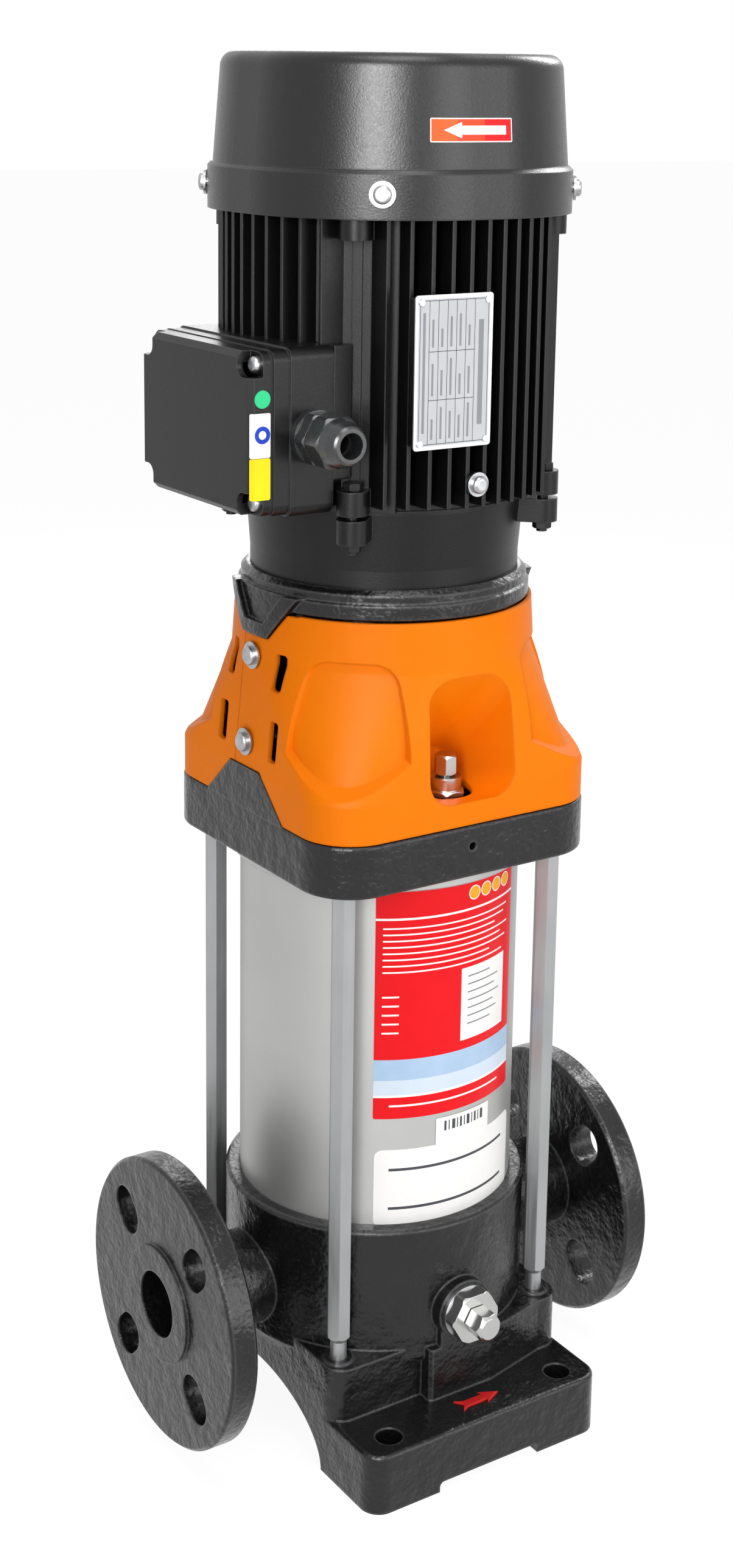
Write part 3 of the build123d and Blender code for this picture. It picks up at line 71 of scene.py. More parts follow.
# Shared by all finishes: where the noise starts and ends, and how far a normal has to turn on
# an edge before the lighter edge colour is laid there, partly rubbed paint and partly a painted
# highlight.
finishRules = {"patchNoise": (0.35, 0.65), "grainNoise": (0.3, 0.7), "edgeMarkFrom": 0.985,
               "edgeMarkTo": 0.9, "edge": 0.4, "specular": 0.5, "coatRoughness": 0.25}


# One finish is a dictionary: sRGB colours, roughness from low to high, and in mm the sizes of
# grain and patches, the depth of the grain and the radius of the edges.
def makeFinish(name, finish):
    material, tree = emptyMaterial(name)
    place = addNode(tree, "ShaderNodeTexCoord").outputs["Object"]
    stretched = addNode(tree, "ShaderNodeMapping", {"Scale": finish.get("stretch", (1, 1, 1))},
                        {"Vector": place}).outputs["Vector"]
    patch = addNode(tree, "ShaderNodeTexNoise", {"Scale": perMm(finish["patch"]), "Detail": 3.0,
                                                 "Roughness": 0.55}, {"Vector": place})
    grain = addNode(tree, "ShaderNodeTexNoise", {"Scale": perMm(finish["grain"]), "Detail": 4.0,
                                                 "Roughness": 0.6}, {"Vector": stretched})
    low, high = finishRules["patchNoise"]
    spread = addNode(tree, "ShaderNodeMapRange", {"From Min": low, "From Max": high},
                     {"Value": patch.outputs["Fac"]})
    base = addNode(tree, "ShaderNodeMix", {mixSocket["first"]: toLinear(finish["colour"]),
                                           mixSocket["second"]: toLinear(finish["shade"])},
                   {mixSocket["factor"]: spread.outputs["Result"]}, data_type="RGBA")
    colour = base.outputs[mixSocket["result"]]
    edgeRadius = finish.get("edge", finishRules["edge"]) / 1000
    rounded = addNode(tree, "ShaderNodeBevel", {"Radius": edgeRadius}, samples=4)
    # Edges take a lighter colour: partly rubbed paint, partly a painted highlight that stands in
    # for glints on the edges.
    if "wearAndPaintedHighlight" in finish:
        flat = addNode(tree, "ShaderNodeNewGeometry")
        turn = addNode(tree, "ShaderNodeVectorMath", None, {0: rounded.outputs["Normal"],
                                                            1: flat.outputs["Normal"]},
                       operation="DOT_PRODUCT")
        edge = addNode(tree, "ShaderNodeMapRange", {"From Min": finishRules["edgeMarkFrom"],
                                                    "From Max": finishRules["edgeMarkTo"]},
                       {"Value": turn.outputs["Value"]})
        wearAndHighlightMask = addNode(tree, "ShaderNodeMath", None, {0: edge.outputs["Result"],
                                                     1: grain.outputs["Fac"]},
                      operation="MULTIPLY")
        wearAndPaintedHighlight = addNode(tree, "ShaderNodeMix", {mixSocket["second"]: toLinear(finish["wearAndPaintedHighlight"])},
                       {mixSocket["factor"]: wearAndHighlightMask.outputs["Value"], mixSocket["first"]: colour},
                       data_type="RGBA")
        colour = wearAndPaintedHighlight.outputs[mixSocket["result"]]
    low, high = finishRules["grainNoise"]
    rough = addNode(tree, "ShaderNodeMapRange", {"From Min": low, "From Max": high,
                                                 "To Min": finish["rough"][0],
                                                 "To Max": finish["rough"][1]},
                    {"Value": grain.outputs["Fac"]})
    bump = addNode(tree, "ShaderNodeBump", {"Strength": 1.0, "Distance": finish["depth"] / 1000},
                   {"Height": grain.outputs["Fac"], "Normal": rounded.outputs["Normal"]})
    normal = bump.outputs["Normal"]
    if "lumps" in finish:        # the slower waviness under the grain
        lumps = addNode(tree, "ShaderNodeTexNoise", {"Scale": perMm(finish["lumps"]),
                                                     "Detail": 2.0}, {"Vector": place})
        bump = addNode(tree, "ShaderNodeBump", {"Strength": 1.0,
                                                "Distance": finish["lumpDepth"] / 1000},
                       {"Height": lumps.outputs["Fac"], "Normal": normal})
        normal = bump.outputs["Normal"]
    shader = addNode(tree, "ShaderNodeBsdfPrincipled",
                     {"Metallic": finish.get("metallic", 0.0),
                      "Specular IOR Level": finish.get("specular", finishRules["specular"]),
                      "Coat Weight": finish.get("coat", 0.0),
                      "Coat Roughness": finishRules["coatRoughness"]},
                     {"Base Color": colour, "Roughness": rough.outputs["Result"],
                      "Normal": normal})
    addNode(tree, "ShaderNodeOutputMaterial", None, {"Surface": shader.outputs["BSDF"]})
    return material


# Grain finer than about 0.7 mm is drawn at that size or more, so that it shows.
finishes = {
    # sand-cast iron under glossy black enamel: lumpy, with glints on lumps and edges, the edges
    # also lighter from rubbed paint and a painted highlight; real sand leaves a grain of about 0.3
    # mm
    "enamelOnSandCastIron": {"colour": "#0e0e0f", "shade": "#151516", "wearAndPaintedHighlight": "#6c6c6f",
                             "rough": (0.14, 0.32), "grain": 2.0, "depth": 0.26, "lumps": 8.0,
                             "lumpDepth": 1.0, "patch": 40.0, "edge": 1.7, "specular": 0.36,
                             "coat": 0.12},
    # die-cast aluminium, sprayed satin black: even, soft sheen on the edges, partly a painted
    # highlight
    "sprayOnDieCastAluminium": {"colour": "#0a0a0b", "shade": "#0e0e0f", "wearAndPaintedHighlight": "#5c5c5e",
                                "rough": (0.3, 0.42), "grain": 0.7, "depth": 0.05,
                                "patch": 60.0, "edge": 0.8, "specular": 0.27},
    # pressed steel cowl in fine textured powder coat: dark grey with a soft wide highlight, edges
    # a little lighter from wear and a painted highlight
    "texturedPowderOnSteel": {"colour": "#0f0f10", "shade": "#131314", "wearAndPaintedHighlight": "#3c3c3e",
                              "rough": (0.25, 0.36), "grain": 0.9, "depth": 0.1, "patch": 70.0,
                              "edge": 1.0, "specular": 0.45},
    # pressed steel guard in orange powder coat: saturated, slightly eggshell
    "orangePowderOnSteel": {"colour": "#ee7b00", "shade": "#ea7500", "rough": (0.4, 0.5),
                            "grain": 1.0, "depth": 0.03, "patch": 90.0, "edge": 1.6,
                            "specular": 0.08},
    # drawn stainless tube, satin ground round its girth: fine level lines
    "satinStainlessTube": {"colour": "#b8b8b7", "shade": "#b1b1b0", "metallic": 0.8,
                           "rough": (0.44, 0.54), "grain": 3.0, "stretch": (1, 1, 14),
                           "depth": 0.008, "patch": 80.0, "edge": 0.4},
    # turned stainless: bright and smooth, a little cloudy
    "turnedStainless": {"colour": "#c0c0be", "shade": "#b9b9b7", "metallic": 1.0,
                        "rough": (0.2, 0.26), "grain": 4.0, "depth": 0.001, "patch": 20.0,
                        "edge": 0.5},
    # drawn bar, zinc plated: pale, drawn lines along its length
    "zincOnDrawnBar": {"colour": "#a8a9aa", "shade": "#9fa0a1", "metallic": 0.9,
                       "rough": (0.36, 0.5), "grain": 1.6, "stretch": (1, 1, 0.04),
                       "depth": 0.012, "patch": 60.0, "edge": 0.6},
    # zinc plated screws and nuts: silver, cloudy from the bath
    "brightZincPlate": {"colour": "#b6b7b9", "shade": "#9c9d9f", "metallic": 1.0,
                        "rough": (0.26, 0.38), "grain": 1.0, "depth": 0.006, "patch": 5.0,
                        "edge": 0.35},
    # blackened steel bolt: dull oil-black
    "blackOxideSteel": {"colour": "#1b1b1d", "shade": "#252527", "metallic": 0.6,
                        "rough": (0.35, 0.5), "grain": 0.6, "depth": 0.02, "patch": 8.0,
                        "edge": 0.4},
    # moulded black nylon: grey sheen with a fine spark-eroded texture
    "mouldedNylon": {"colour": "#2c2d2f", "shade": "#27282a", "rough": (0.2, 0.3), "grain": 0.8,
                     "depth": 0.01, "patch": 20.0, "edge": 0.6, "coat": 0.4},
    # moulded nitrile rubber: deep matte black
    "mouldedNitrile": {"colour": "#101011", "shade": "#151516", "rough": (0.6, 0.75),
                       "grain": 0.7, "depth": 0.02, "patch": 15.0, "edge": 0.3,
                       "specular": 0.3},
    # anodised aluminium sheet: fine brushing along its length
    "anodisedSheet": {"colour": "#c9cbcd", "shade": "#bfc1c4", "metallic": 0.75,
                      "rough": (0.34, 0.42), "grain": 1.6, "stretch": (10, 1, 1),
                      "depth": 0.004, "patch": 60.0, "edge": 0.2},
    # continuous-cast bronze, turned
    "turnedBronze": {"colour": "#b78a4a", "shade": "#a37a3e", "metallic": 1.0,
                     "rough": (0.25, 0.4), "grain": 1.0, "depth": 0.01, "patch": 8.0,
                     "edge": 0.3},
    # lapped carbon: near mirror flat, dark grey
    "lappedCarbon": {"colour": "#242426", "shade": "#1c1c1e", "rough": (0.2, 0.3), "grain": 0.8,
                     "depth": 0.004, "patch": 8.0, "edge": 0.2},
    # laminated electrical steel: thin sheets stacked along the shaft
    "laminatedSteel": {"colour": "#6d6e70", "shade": "#58595b", "metallic": 0.9,
                       "rough": (0.35, 0.55), "grain": 1.4, "stretch": (0.2, 0.2, 3),
                       "depth": 0.05, "patch": 20.0, "edge": 0.2},
    # varnished copper windings: brown-red gloss
    "varnishedCopper": {"colour": "#8f4a25", "shade": "#74391b", "metallic": 0.6,
                        "rough": (0.25, 0.4), "grain": 1.6, "stretch": (1, 1, 0.4),
                        "depth": 0.2, "patch": 9.0, "edge": 0.5, "coat": 0.6},
    # moulded polypropylene fan: plain grey-black
    "mouldedPolypropylene": {"colour": "#1b1b1c", "shade": "#202021", "rough": (0.4, 0.5),
                             "grain": 0.8, "depth": 0.01, "patch": 25.0, "edge": 0.5},
    # pressed phenolic board: brown with flecks
    "pressedPhenolic": {"colour": "#5b3822", "shade": "#462a19", "rough": (0.35, 0.5),
                        "grain": 0.9, "depth": 0.02, "patch": 3.0, "edge": 0.4},
    # shot-blasted iron coupling: matte mid grey
    "blastedIron": {"colour": "#5d5e60", "shade": "#4d4e50", "metallic": 0.7,
                    "rough": (0.45, 0.6), "grain": 0.8, "depth": 0.05, "patch": 15.0,
                    "edge": 0.6}}
coats = {name: makeFinish(name, finish) for name, finish in finishes.items()}

nodeFinish = {
    "enamelOnSandCastIron": ["pump_base", "pump_head"],
    "sprayOnDieCastAluminium": ["drive_end_shield", "motor_frame", "rear_end_shield",
                                "terminal_box", "terminal_cover"],
    "texturedPowderOnSteel": ["fan_cowl"],
    "orangePowderOnSteel": ["guard_front", "guard_rear"],
    "satinStainlessTube": ["outer_sleeve", "head_cover_plate"],
    "turnedStainless": ["drain_plug", "drain_stem", "suction_guide", "stage_chambers", "impellers",
                        "outlet_spider", "pump_shaft", "seal_gland", "seal_driver", "vent_plug",
                        "vent_screw", "coupling_pin", "motor_shaft", "motor_bearings"],
    "zincOnDrawnBar": ["stay_bolts"],
    "brightZincPlate": ["drain_washer", "stay_nuts", "stay_washers", "guard_washers",
                        "guard_screws", "coupling_bolts", "motor_flange_bolts", "cowl_screws",
                        "earth_screw", "terminal_cover_screws"],
    "blackOxideSteel": ["tie_bolts"],
    "mouldedNylon": ["gland_body", "gland_nut"],
    "mouldedNitrile": ["sleeve_seals", "terminal_gasket", "gland_seal"],
    "anodisedSheet": ["nameplate", "nameplate_rivets"],
    "turnedBronze": ["lower_bush"],
    "lappedCarbon": ["seal_seat", "seal_face"],
    "laminatedSteel": ["rotor_core", "stator_core"],
    "varnishedCopper": ["stator_windings"],
    "mouldedPolypropylene": ["fan"],
    "pressedPhenolic": ["terminal_board"],
    "blastedIron": ["coupling_half_front", "coupling_half_rear"]}
for finishName, names in nodeFinish.items():
    for name in names:
        nodes[name].data.materials.clear()
        nodes[name].data.materials.append(coats[finishName])
print("finishes set:", sum(len(names) for names in nodeFinish.values()), "nodes")


# Printed or painted surfaces: a little unevenness, never flat. Sizes in mm.
inkLook = {"cloud": 14.0, "tooth": 0.8, "toothDepth": 0.02, "smoother": 0.05, "rougher": 0.1,
           "specular": 0.18, "coatRoughness": 0.2}


def makeInk(name, colour, shade, rough=0.35, coat=0.04):
    material, tree = emptyMaterial(name)
    place = addNode(tree, "ShaderNodeTexCoord").outputs["Object"]
    cloud = addNode(tree, "ShaderNodeTexNoise", {"Scale": perMm(inkLook["cloud"]), "Detail": 3.0},
                    {"Vector": place})
    tooth = addNode(tree, "ShaderNodeTexNoise", {"Scale": perMm(inkLook["tooth"]), "Detail": 2.0},
                    {"Vector": place})
    mix = addNode(tree, "ShaderNodeMix", {mixSocket["first"]: toLinear(colour),
                                          mixSocket["second"]: toLinear(shade)},
                  {mixSocket["factor"]: cloud.outputs["Fac"]}, data_type="RGBA")
    spread = addNode(tree, "ShaderNodeMapRange", {"To Min": rough - inkLook["smoother"],
                                                  "To Max": rough + inkLook["rougher"]},
                     {"Value": tooth.outputs["Fac"]})
    bump = addNode(tree, "ShaderNodeBump", {"Strength": 0.5,
                                            "Distance": inkLook["toothDepth"] / 1000},
                   {"Height": tooth.outputs["Fac"]})
    shader = addNode(tree, "ShaderNodeBsdfPrincipled",
                     {"Specular IOR Level": inkLook["specular"], "Coat Weight": coat,
                      "Coat Roughness": inkLook["coatRoughness"]},
                     {"Base Color": mix.outputs[mixSocket["result"]],
                      "Roughness": spread.outputs["Result"], "Normal": bump.outputs["Normal"]})
    addNode(tree, "ShaderNodeOutputMaterial", None, {"Surface": shader.outputs["BSDF"]})
    return material


inkColours = {      # colour, shade, and where it isn't printed vinyl, roughness and coat
    "redVinyl": ("#e80814", "#e00511"), "whiteVinyl": ("#f4f3f1", "#eae9e7"),
    "paleBlueVinyl": ("#b9cfe6", "#9bb9d9"), "skyVinyl": ("#d9e3ee", "#c7d6e6"),
    "yellowVinyl": ("#fbe300", "#f4d800"), "amberVinyl": ("#f2b01e", "#eaa214"),
    "greyVinyl": ("#8d8f93", "#7f8186"), "greenVinyl": ("#2fd18c", "#28c681"),
    "blueVinyl": ("#2447c8", "#1f3fb8"), "orangeVinyl": ("#f0672c", "#ec5c24"),
    "orangeRedVinyl": ("#ee4a20", "#e8401c"),
    "silverInk": ("#c4c6c8", "#b8babc", 0.35, 0.0), "paleInk": ("#8f9194", "#85878a", 0.45, 0.0),
    "darkInk": ("#4d4f53", "#43454a", 0.5, 0.0),
    "redArrowPaint": ("#e0241f", "#b3130f", 0.45, 0.1)}
inks = {name: makeInk(name, *look) for name, look in inkColours.items()}


def newPiece(name, mesh, body):
    bmesh.ops.recalc_face_normals(mesh, faces=mesh.faces[:])
    data = bpy.data.meshes.new(name)
    mesh.to_mesh(data)
    mesh.free()
    piece = bpy.data.objects.new(name, data)
    bpy.context.scene.collection.objects.link(piece)
    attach(piece, body)
    return piece


def setInks(piece, names):
    for name in names:
        piece.data.materials.append(inks[name])


def toMetres(mesh):
    bmesh.ops.scale(mesh, vec=(0.001, 0.001, 0.001), verts=mesh.verts)


def cutAt(mesh, axis, at):
    point, normal = Vector((0, 0, 0)), Vector((0, 0, 0))
    point[axis], normal[axis] = at, 1
    bmesh.ops.bisect_plane(mesh, geom=mesh.verts[:] + mesh.edges[:] + mesh.faces[:],
                           plane_co=point, plane_no=normal, dist=1e-5)


def faceUp(mesh):
    mesh.normal_update()
    if mesh.faces[:][0].normal.z < 0:
        bmesh.ops.reverse_faces(mesh, faces=mesh.faces[:])


# A flat sheet cut by its printed lines: cells are (left, bottom, right, top, ink) in mm, later
# ones over earlier ones, so neighbouring colours share one surface. A step cuts it further, so
# that it can be bent. The first of its inks is the ground.
def printedSheet(sheet, cells, step=None):
    width, height, names = sheet["width"], sheet["height"], sheet["inks"]
    mesh = bmesh.new()
    bmesh.ops.create_grid(mesh, x_segments=1, y_segments=1, size=0.5)
    bmesh.ops.scale(mesh, vec=(width, height, 1), verts=mesh.verts)
    bmesh.ops.bevel(mesh, geom=mesh.verts, offset=sheet["corner"], segments=5, profile=0.5,
                    affect="VERTICES", material=-1)
    cuts = set()
    if step:
        cuts = {(0, round(-width / 2 + step * i, 4)) for i in range(1, int(width / step) + 1)}
    for left, bottom, right, top, ink in cells:
        cuts |= {(0, left), (0, right), (1, bottom), (1, top)}
    for axis, at in sorted(cuts):
        if abs(at) < (width, height)[axis] / 2 - 1e-4:
            cutAt(mesh, axis, at)
    for face in mesh.faces:
        centre = face.calc_center_median()
        for left, bottom, right, top, ink in cells:
            if left < centre.x < right and bottom < centre.y < top:
                face.material_index = names.index(ink)
    return mesh


# Lines under each other: each stops a little short of the right edge, by its own amount.
def ruledLines(left, right, top, pitch, thick, shorts, ink):
    return [(left, top - pitch * row, right - short, top - pitch * row + thick, ink)
            for row, short in enumerate(shorts)]


# Gives a sheet its thickness and wraps it round the pump axis, in metres.
def wrapOnTube(mesh, radius, middleAngle, level, thickness):
    bmesh.ops.solidify(mesh, geom=mesh.faces[:], thickness=-thickness)
    for vert in mesh.verts:
        angle = math.radians(middleAngle) + vert.co.x / radius
        reach = (radius + vert.co.z) / 1000
        vert.co = (reach * math.cos(angle), reach * math.sin(angle), (level + vert.co.y) / 1000)


# Labels on the sleeve. Middle is in degrees round the axis, where -90 is the front.
sleeveLabels = {"radius": 68.05, "thickness": 0.12, "step": 3.0, "overAnother": 0.16}
redLabel = {
    "width": 83.0, "height": 114.0, "corner": 1.0, "middle": -90.0, "level": 231.5, "lift": 0.0,
    "inks": ["redVinyl", "whiteVinyl", "skyVinyl", "paleBlueVinyl", "greyVinyl"],
    "titleRule": (-41.5, 42.4, 41.5, 43.5, "whiteVinyl"),
    "text": (-38.0, 38.0, 38.0, 3.1, 0.8, (3.0, 6.0, 14.0, 2.0, 9.0, 4.0, 18.0, 7.0),
             "whiteVinyl"),
    "list": (-38.0, -30.0, 4.0, 4.5, 0.9, (0.0, 0.0, 0.0, 0.0, 0.0), "whiteVinyl"),
    "box": (2.0, -22.5, 33.6, 14.0, "whiteVinyl"),
    "boxText": (6.0, 30.0, 9.0, 4.0, 0.7, (9.0, 2.0, 5.0, 1.0, 6.0, 3.0, 8.0), "greyVinyl"),
    "bands": [(-41.5, -37.5, 41.5, -27.0, "paleBlueVinyl"),
              (-41.5, -45.0, 41.5, -37.5, "skyVinyl"),
              (-41.5, -46.2, 41.5, -45.0, "whiteVinyl"),
              (-34.0, -51.0, 30.0, -50.0, "whiteVinyl")]}
whiteLabel = {
    "width": 86.0, "height": 40.0, "corner": 4.0, "middle": -88.0, "level": 138.5, "lift": 0.0,
    "inks": ["whiteVinyl", "darkInk"],
    "rules": [(-36.0, -11.0, 34.0, -9.6, "darkInk"), (-36.0, 9.0, 34.0, 10.4, "darkInk")]}
smallLabel = {
    "width": 33.0, "height": 14.0, "corner": 0.6, "middle": -85.0, "level": 165.0,
    "lift": sleeveLabels["overAnother"], "inks": ["whiteVinyl", "darkInk"], "barTop": 5.0,
    "bars": [(-12.0, 1.2), (-9.6, 0.6), (-7.6, 1.8), (-4.8, 0.6), (-3.0, 1.2), (-0.6, 0.6),
             (1.2, 1.8), (4.2, 0.6), (6.0, 1.2), (8.4, 0.6), (10.2, 1.8)]}
dots = {"radius": 3.6, "rim": 0.5, "level": 282.3, "angles": (-82.6, -76.0, -69.3, -62.6),
        "segments": 40, "inks": ["whiteVinyl", "amberVinyl"]}


def sleeveLabel(name, label, cells):
    mesh = printedSheet(label, cells, sleeveLabels["step"])
    wrapOnTube(mesh, sleeveLabels["radius"] + label["lift"], label["middle"], label["level"],
               sleeveLabels["thickness"])
    setInks(newPiece(name, mesh, "pump_casing"), label["inks"])


sleeveLabel("sleeve_label_red", redLabel,
            [redLabel["titleRule"]] + ruledLines(*redLabel["text"])
            + ruledLines(*redLabel["list"]) + [redLabel["box"]]
            + ruledLines(*redLabel["boxText"]) + redLabel["bands"])
sleeveLabel("sleeve_label_white", whiteLabel, whiteLabel["rules"])
sleeveLabel("sleeve_label_small", smallLabel,
            [(x, 0.0, x + wide, smallLabel["barTop"], "darkInk")
             for x, wide in smallLabel["bars"]])
for i, angle in enumerate(dots["angles"]):
    dot = bmesh.new()
    bmesh.ops.create_circle(dot, cap_ends=True, radius=dots["radius"], segments=dots["segments"])
    bmesh.ops.inset_region(dot, faces=dot.faces[:], thickness=dots["rim"], use_boundary=True)
    faceUp(dot)
    for face in dot.faces:
        face.material_index = 1 if len(face.verts) > 4 else 0      # the middle, the rim
    wrapOnTube(dot, sleeveLabels["radius"] + sleeveLabels["overAnother"], angle, dots["level"],
               sleeveLabels["thickness"])
    setInks(newPiece(f"sleeve_dot_{i + 1}", dot, "pump_casing"), dots["inks"])
print("sleeve labels made")

# Flow arrow, raised on the front foot and painted. It is sunk a little so that no gap shows.
footArrow = {"tail": -9.0, "tip": 14.5, "middle": -89.0, "footTop": 30.0, "halfShaft": 2.3,
             "halfHead": 4.4, "head": 8.0, "barb": 1.0, "fork": 4.5, "notch": 0.7, "rise": 1.0,
             "edge": 0.45, "sink": 0.02}


def arrowOutline(arrow):
    neck = arrow["tip"] - arrow["head"]
    barb, fork = neck - arrow["barb"], arrow["tail"] + arrow["fork"]
    halfShaft, halfHead = arrow["halfShaft"], arrow["halfHead"]
    return [(arrow["tail"], halfHead), (fork, halfShaft), (neck, halfShaft), (barb, halfHead),
            (arrow["tip"], 0), (barb, -halfHead), (neck, -halfShaft), (fork, -halfShaft),
            (arrow["tail"], -halfHead), (arrow["tail"] + arrow["fork"] * arrow["notch"], 0)]


arrow = bmesh.new()
corners = [arrow.verts.new((x, y, 0)) for x, y in arrowOutline(footArrow)]
arrow.faces.new(reversed(corners))
faceUp(arrow)
lifted = bmesh.ops.extrude_face_region(arrow, geom=arrow.faces[:])
topVerts = [v for v in lifted["geom"] if isinstance(v, bmesh.types.BMVert)]
bmesh.ops.translate(arrow, vec=(0, 0, footArrow["rise"]), verts=topVerts)
bmesh.ops.bevel(arrow, geom=[e for e in arrow.edges if all(v in topVerts for v in e.verts)],
                offset=footArrow["edge"], segments=3, profile=0.5, affect="EDGES", material=-1)
bmesh.ops.translate(arrow, vec=(0, footArrow["middle"], footArrow["footTop"] - footArrow["sink"]),
                    verts=arrow.verts)
toMetres(arrow)
setInks(newPiece("foot_flow_arrow", arrow, "pump_casing"), ["redArrowPaint"])
print("flow arrow made")


# Lays a thin sticker on a node's own surface. Start and direction aim one ray for each corner.
def layOn(mesh, node, start, direction, thickness, lift=0.06):
    bmesh.ops.solidify(mesh, geom=mesh.faces[:], thickness=-thickness)
    for vert in mesh.verts:
        origin, aim = start(vert.co), direction(vert.co)
        found, hit, normal, face = nodes[node].ray_cast(origin, aim)
        vert.co = hit - aim * ((vert.co.z + lift) / 1000)


cowlSticker = {"width": 41.0, "height": 10.2, "corner": 0.6, "rim": 0.5, "thickness": 0.1,
               "middle": -96.5, "level": 632.8, "cowlRadius": 77.0, "rayFrom": 120.0,
               "step": 2.0, "tones": (-8.0, 6.0),
               "inks": ["whiteVinyl", "orangeVinyl", "orangeRedVinyl", "redVinyl"]}
cowlArrow = {"tip": -14.5, "neck": -6.0, "tail": 17.0, "halfHead": 3.4, "halfShaft": 1.9,
             "thickness": 0.4, "step": 2}


def cowlTurn(spot):
    return math.radians(cowlSticker["middle"]
                        + math.degrees(spot.x / cowlSticker["cowlRadius"]))


def cowlStart(spot):
    turn, reach = cowlTurn(spot), cowlSticker["rayFrom"] / 1000
    return Vector((reach * math.cos(turn), reach * math.sin(turn),
                   (cowlSticker["level"] + spot.y) / 1000))


def cowlAim(spot):
    turn = cowlTurn(spot)
    return Vector((-math.cos(turn), -math.sin(turn), 0))


inkedX = cowlSticker["width"] / 2 - cowlSticker["rim"]
inkedY = cowlSticker["height"] / 2 - cowlSticker["rim"]
firstTone, lastTone = cowlSticker["tones"]
sticker = printedSheet(cowlSticker, [(-inkedX, -inkedY, firstTone, inkedY, "orangeVinyl"),
                                     (firstTone, -inkedY, lastTone, inkedY, "orangeRedVinyl"),
                                     (lastTone, -inkedY, inkedX, inkedY, "redVinyl")],
                       cowlSticker["step"])
layOn(sticker, "fan_cowl", cowlStart, cowlAim, cowlSticker["thickness"])
setInks(newPiece("cowl_rotation_sticker", sticker, "pump_casing"),
        cowlSticker["inks"])

tip, neck, tail = cowlArrow["tip"], cowlArrow["neck"], cowlArrow["tail"]
halfHead, halfShaft = cowlArrow["halfHead"], cowlArrow["halfShaft"]
arrowSheet = bmesh.new()
arrowSheet.faces.new([arrowSheet.verts.new((x, y, 0)) for x, y in (
    (tip, 0), (neck, halfHead), (neck, halfShaft), (tail, halfShaft), (tail, -halfShaft),
    (neck, -halfShaft), (neck, -halfHead))])
faceUp(arrowSheet)
for at in range(int(tip), int(tail), cowlArrow["step"]):
    cutAt(arrowSheet, 0, at)
layOn(arrowSheet, "fan_cowl", cowlStart, cowlAim, cowlArrow["thickness"])
setInks(newPiece("cowl_rotation_arrow", arrowSheet, "pump_casing"),
        ["whiteVinyl"])

# Printed fields on the nameplate: a plain ruled table, nothing written
plateTable = {
    "width": 37.6, "height": 63.6, "corner": 1.0, "thickness": 0.06, "lift": 0.02,
    "inks": ["silverInk", "darkInk", "paleInk"], "rule": 0.3, "halfHeight": 31.2,
    "sides": (-18.2, 18.2), "ends": (-31.2, 30.9),
    "uprights": (-18.2, -13.4, -8.6, -3.8, 1.0, 5.8, 10.6, 17.9),
    "crossSides": (-13.4, 10.6), "crosses": (-12.0, 9.0),
    "titles": [(-16.6, -26.0, -15.2, 26.0, "paleInk"), (12.9, -24.0, 15.6, 22.0, "paleInk")],
    "lineWidth": 1.1, "lineStarts": (-29.0, -10.0, 11.0),
    "lines": ((-11.8, (9, 14, 12)), (-7.0, (14, 11, 8)), (-2.2, (12, 16, 13)),
              (2.6, (10, 9, 14)), (7.4, (15, 12, 9)))}
rule = plateTable["rule"]
left, right = plateTable["sides"]
fields = [(left, y, right, y + rule, "darkInk") for y in plateTable["ends"]]
fields += [(x, -plateTable["halfHeight"], x + rule, plateTable["halfHeight"], "darkInk")
           for x in plateTable["uprights"]]
left, right = plateTable["crossSides"]
fields += [(left, y, right, y + rule, "darkInk") for y in plateTable["crosses"]]
fields += plateTable["titles"]
for x, lengths in plateTable["lines"]:
    for low, length in zip(plateTable["lineStarts"], lengths):
        fields.append((x, low, x + plateTable["lineWidth"], low + length, "paleInk"))
plateLow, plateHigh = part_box("nameplate")
plateMid = [(a + b) / 2 * 1000 for a, b in zip(plateLow, plateHigh)]
plate = printedSheet(plateTable, fields)
bmesh.ops.solidify(plate, geom=plate.faces[:], thickness=-plateTable["thickness"])
bmesh.ops.rotate(plate, matrix=Matrix.Rotation(math.radians(90), 3, "X"), verts=plate.verts)
bmesh.ops.translate(plate, vec=(plateMid[0], plateLow[1] * 1000 - plateTable["lift"],
                                plateMid[2]), verts=plate.verts)
toMetres(plate)
setInks(newPiece("nameplate_print", plate, "pump_casing"),
        plateTable["inks"])

# Stickers on the narrow front side of the terminal cover. They bend onto the cover's bevel,
# which falls back by 0.7 mm and runs on by 0.3 mm in each mm of sticker.
coverLow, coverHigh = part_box("terminal_cover")
coverEdge = coverLow[0] * 1000 + 2.5      # where the flat side meets the bevel
coverStickers = {"left": coverEdge - 2.2, "right": coverHigh[0] * 1000 - 0.5, "corner": 0.8,
                 "thickness": 0.12, "lift": 0.03, "fallsBack": 0.7, "slips": 0.3}
coverDiscs = {"x": (coverEdge + coverStickers["right"]) / 2, "thickness": 0.1, "segments": 48}


def coverSticker(name, bottom, top, ink):
    left, right = coverStickers["left"], coverStickers["right"]
    sheet = printedSheet({"width": right - left, "height": top - bottom,
                          "corner": coverStickers["corner"], "inks": [ink]}, [])
    bmesh.ops.translate(sheet, vec=((left + right) / 2, (top + bottom) / 2, 0),
                        verts=sheet.verts)
    cutAt(sheet, 0, coverEdge)
    bmesh.ops.solidify(sheet, geom=sheet.faces[:], thickness=-coverStickers["thickness"])
    for vert in sheet.verts:
        over = max(0.0, coverEdge - vert.co.x)
        rise = coverStickers["lift"] + vert.co.z - coverStickers["fallsBack"] * over
        vert.co = ((vert.co.x + coverStickers["slips"] * over) / 1000,
                   coverLow[1] - rise / 1000, vert.co.y / 1000)
    setInks(newPiece(name, sheet, "pump_casing"), [ink])


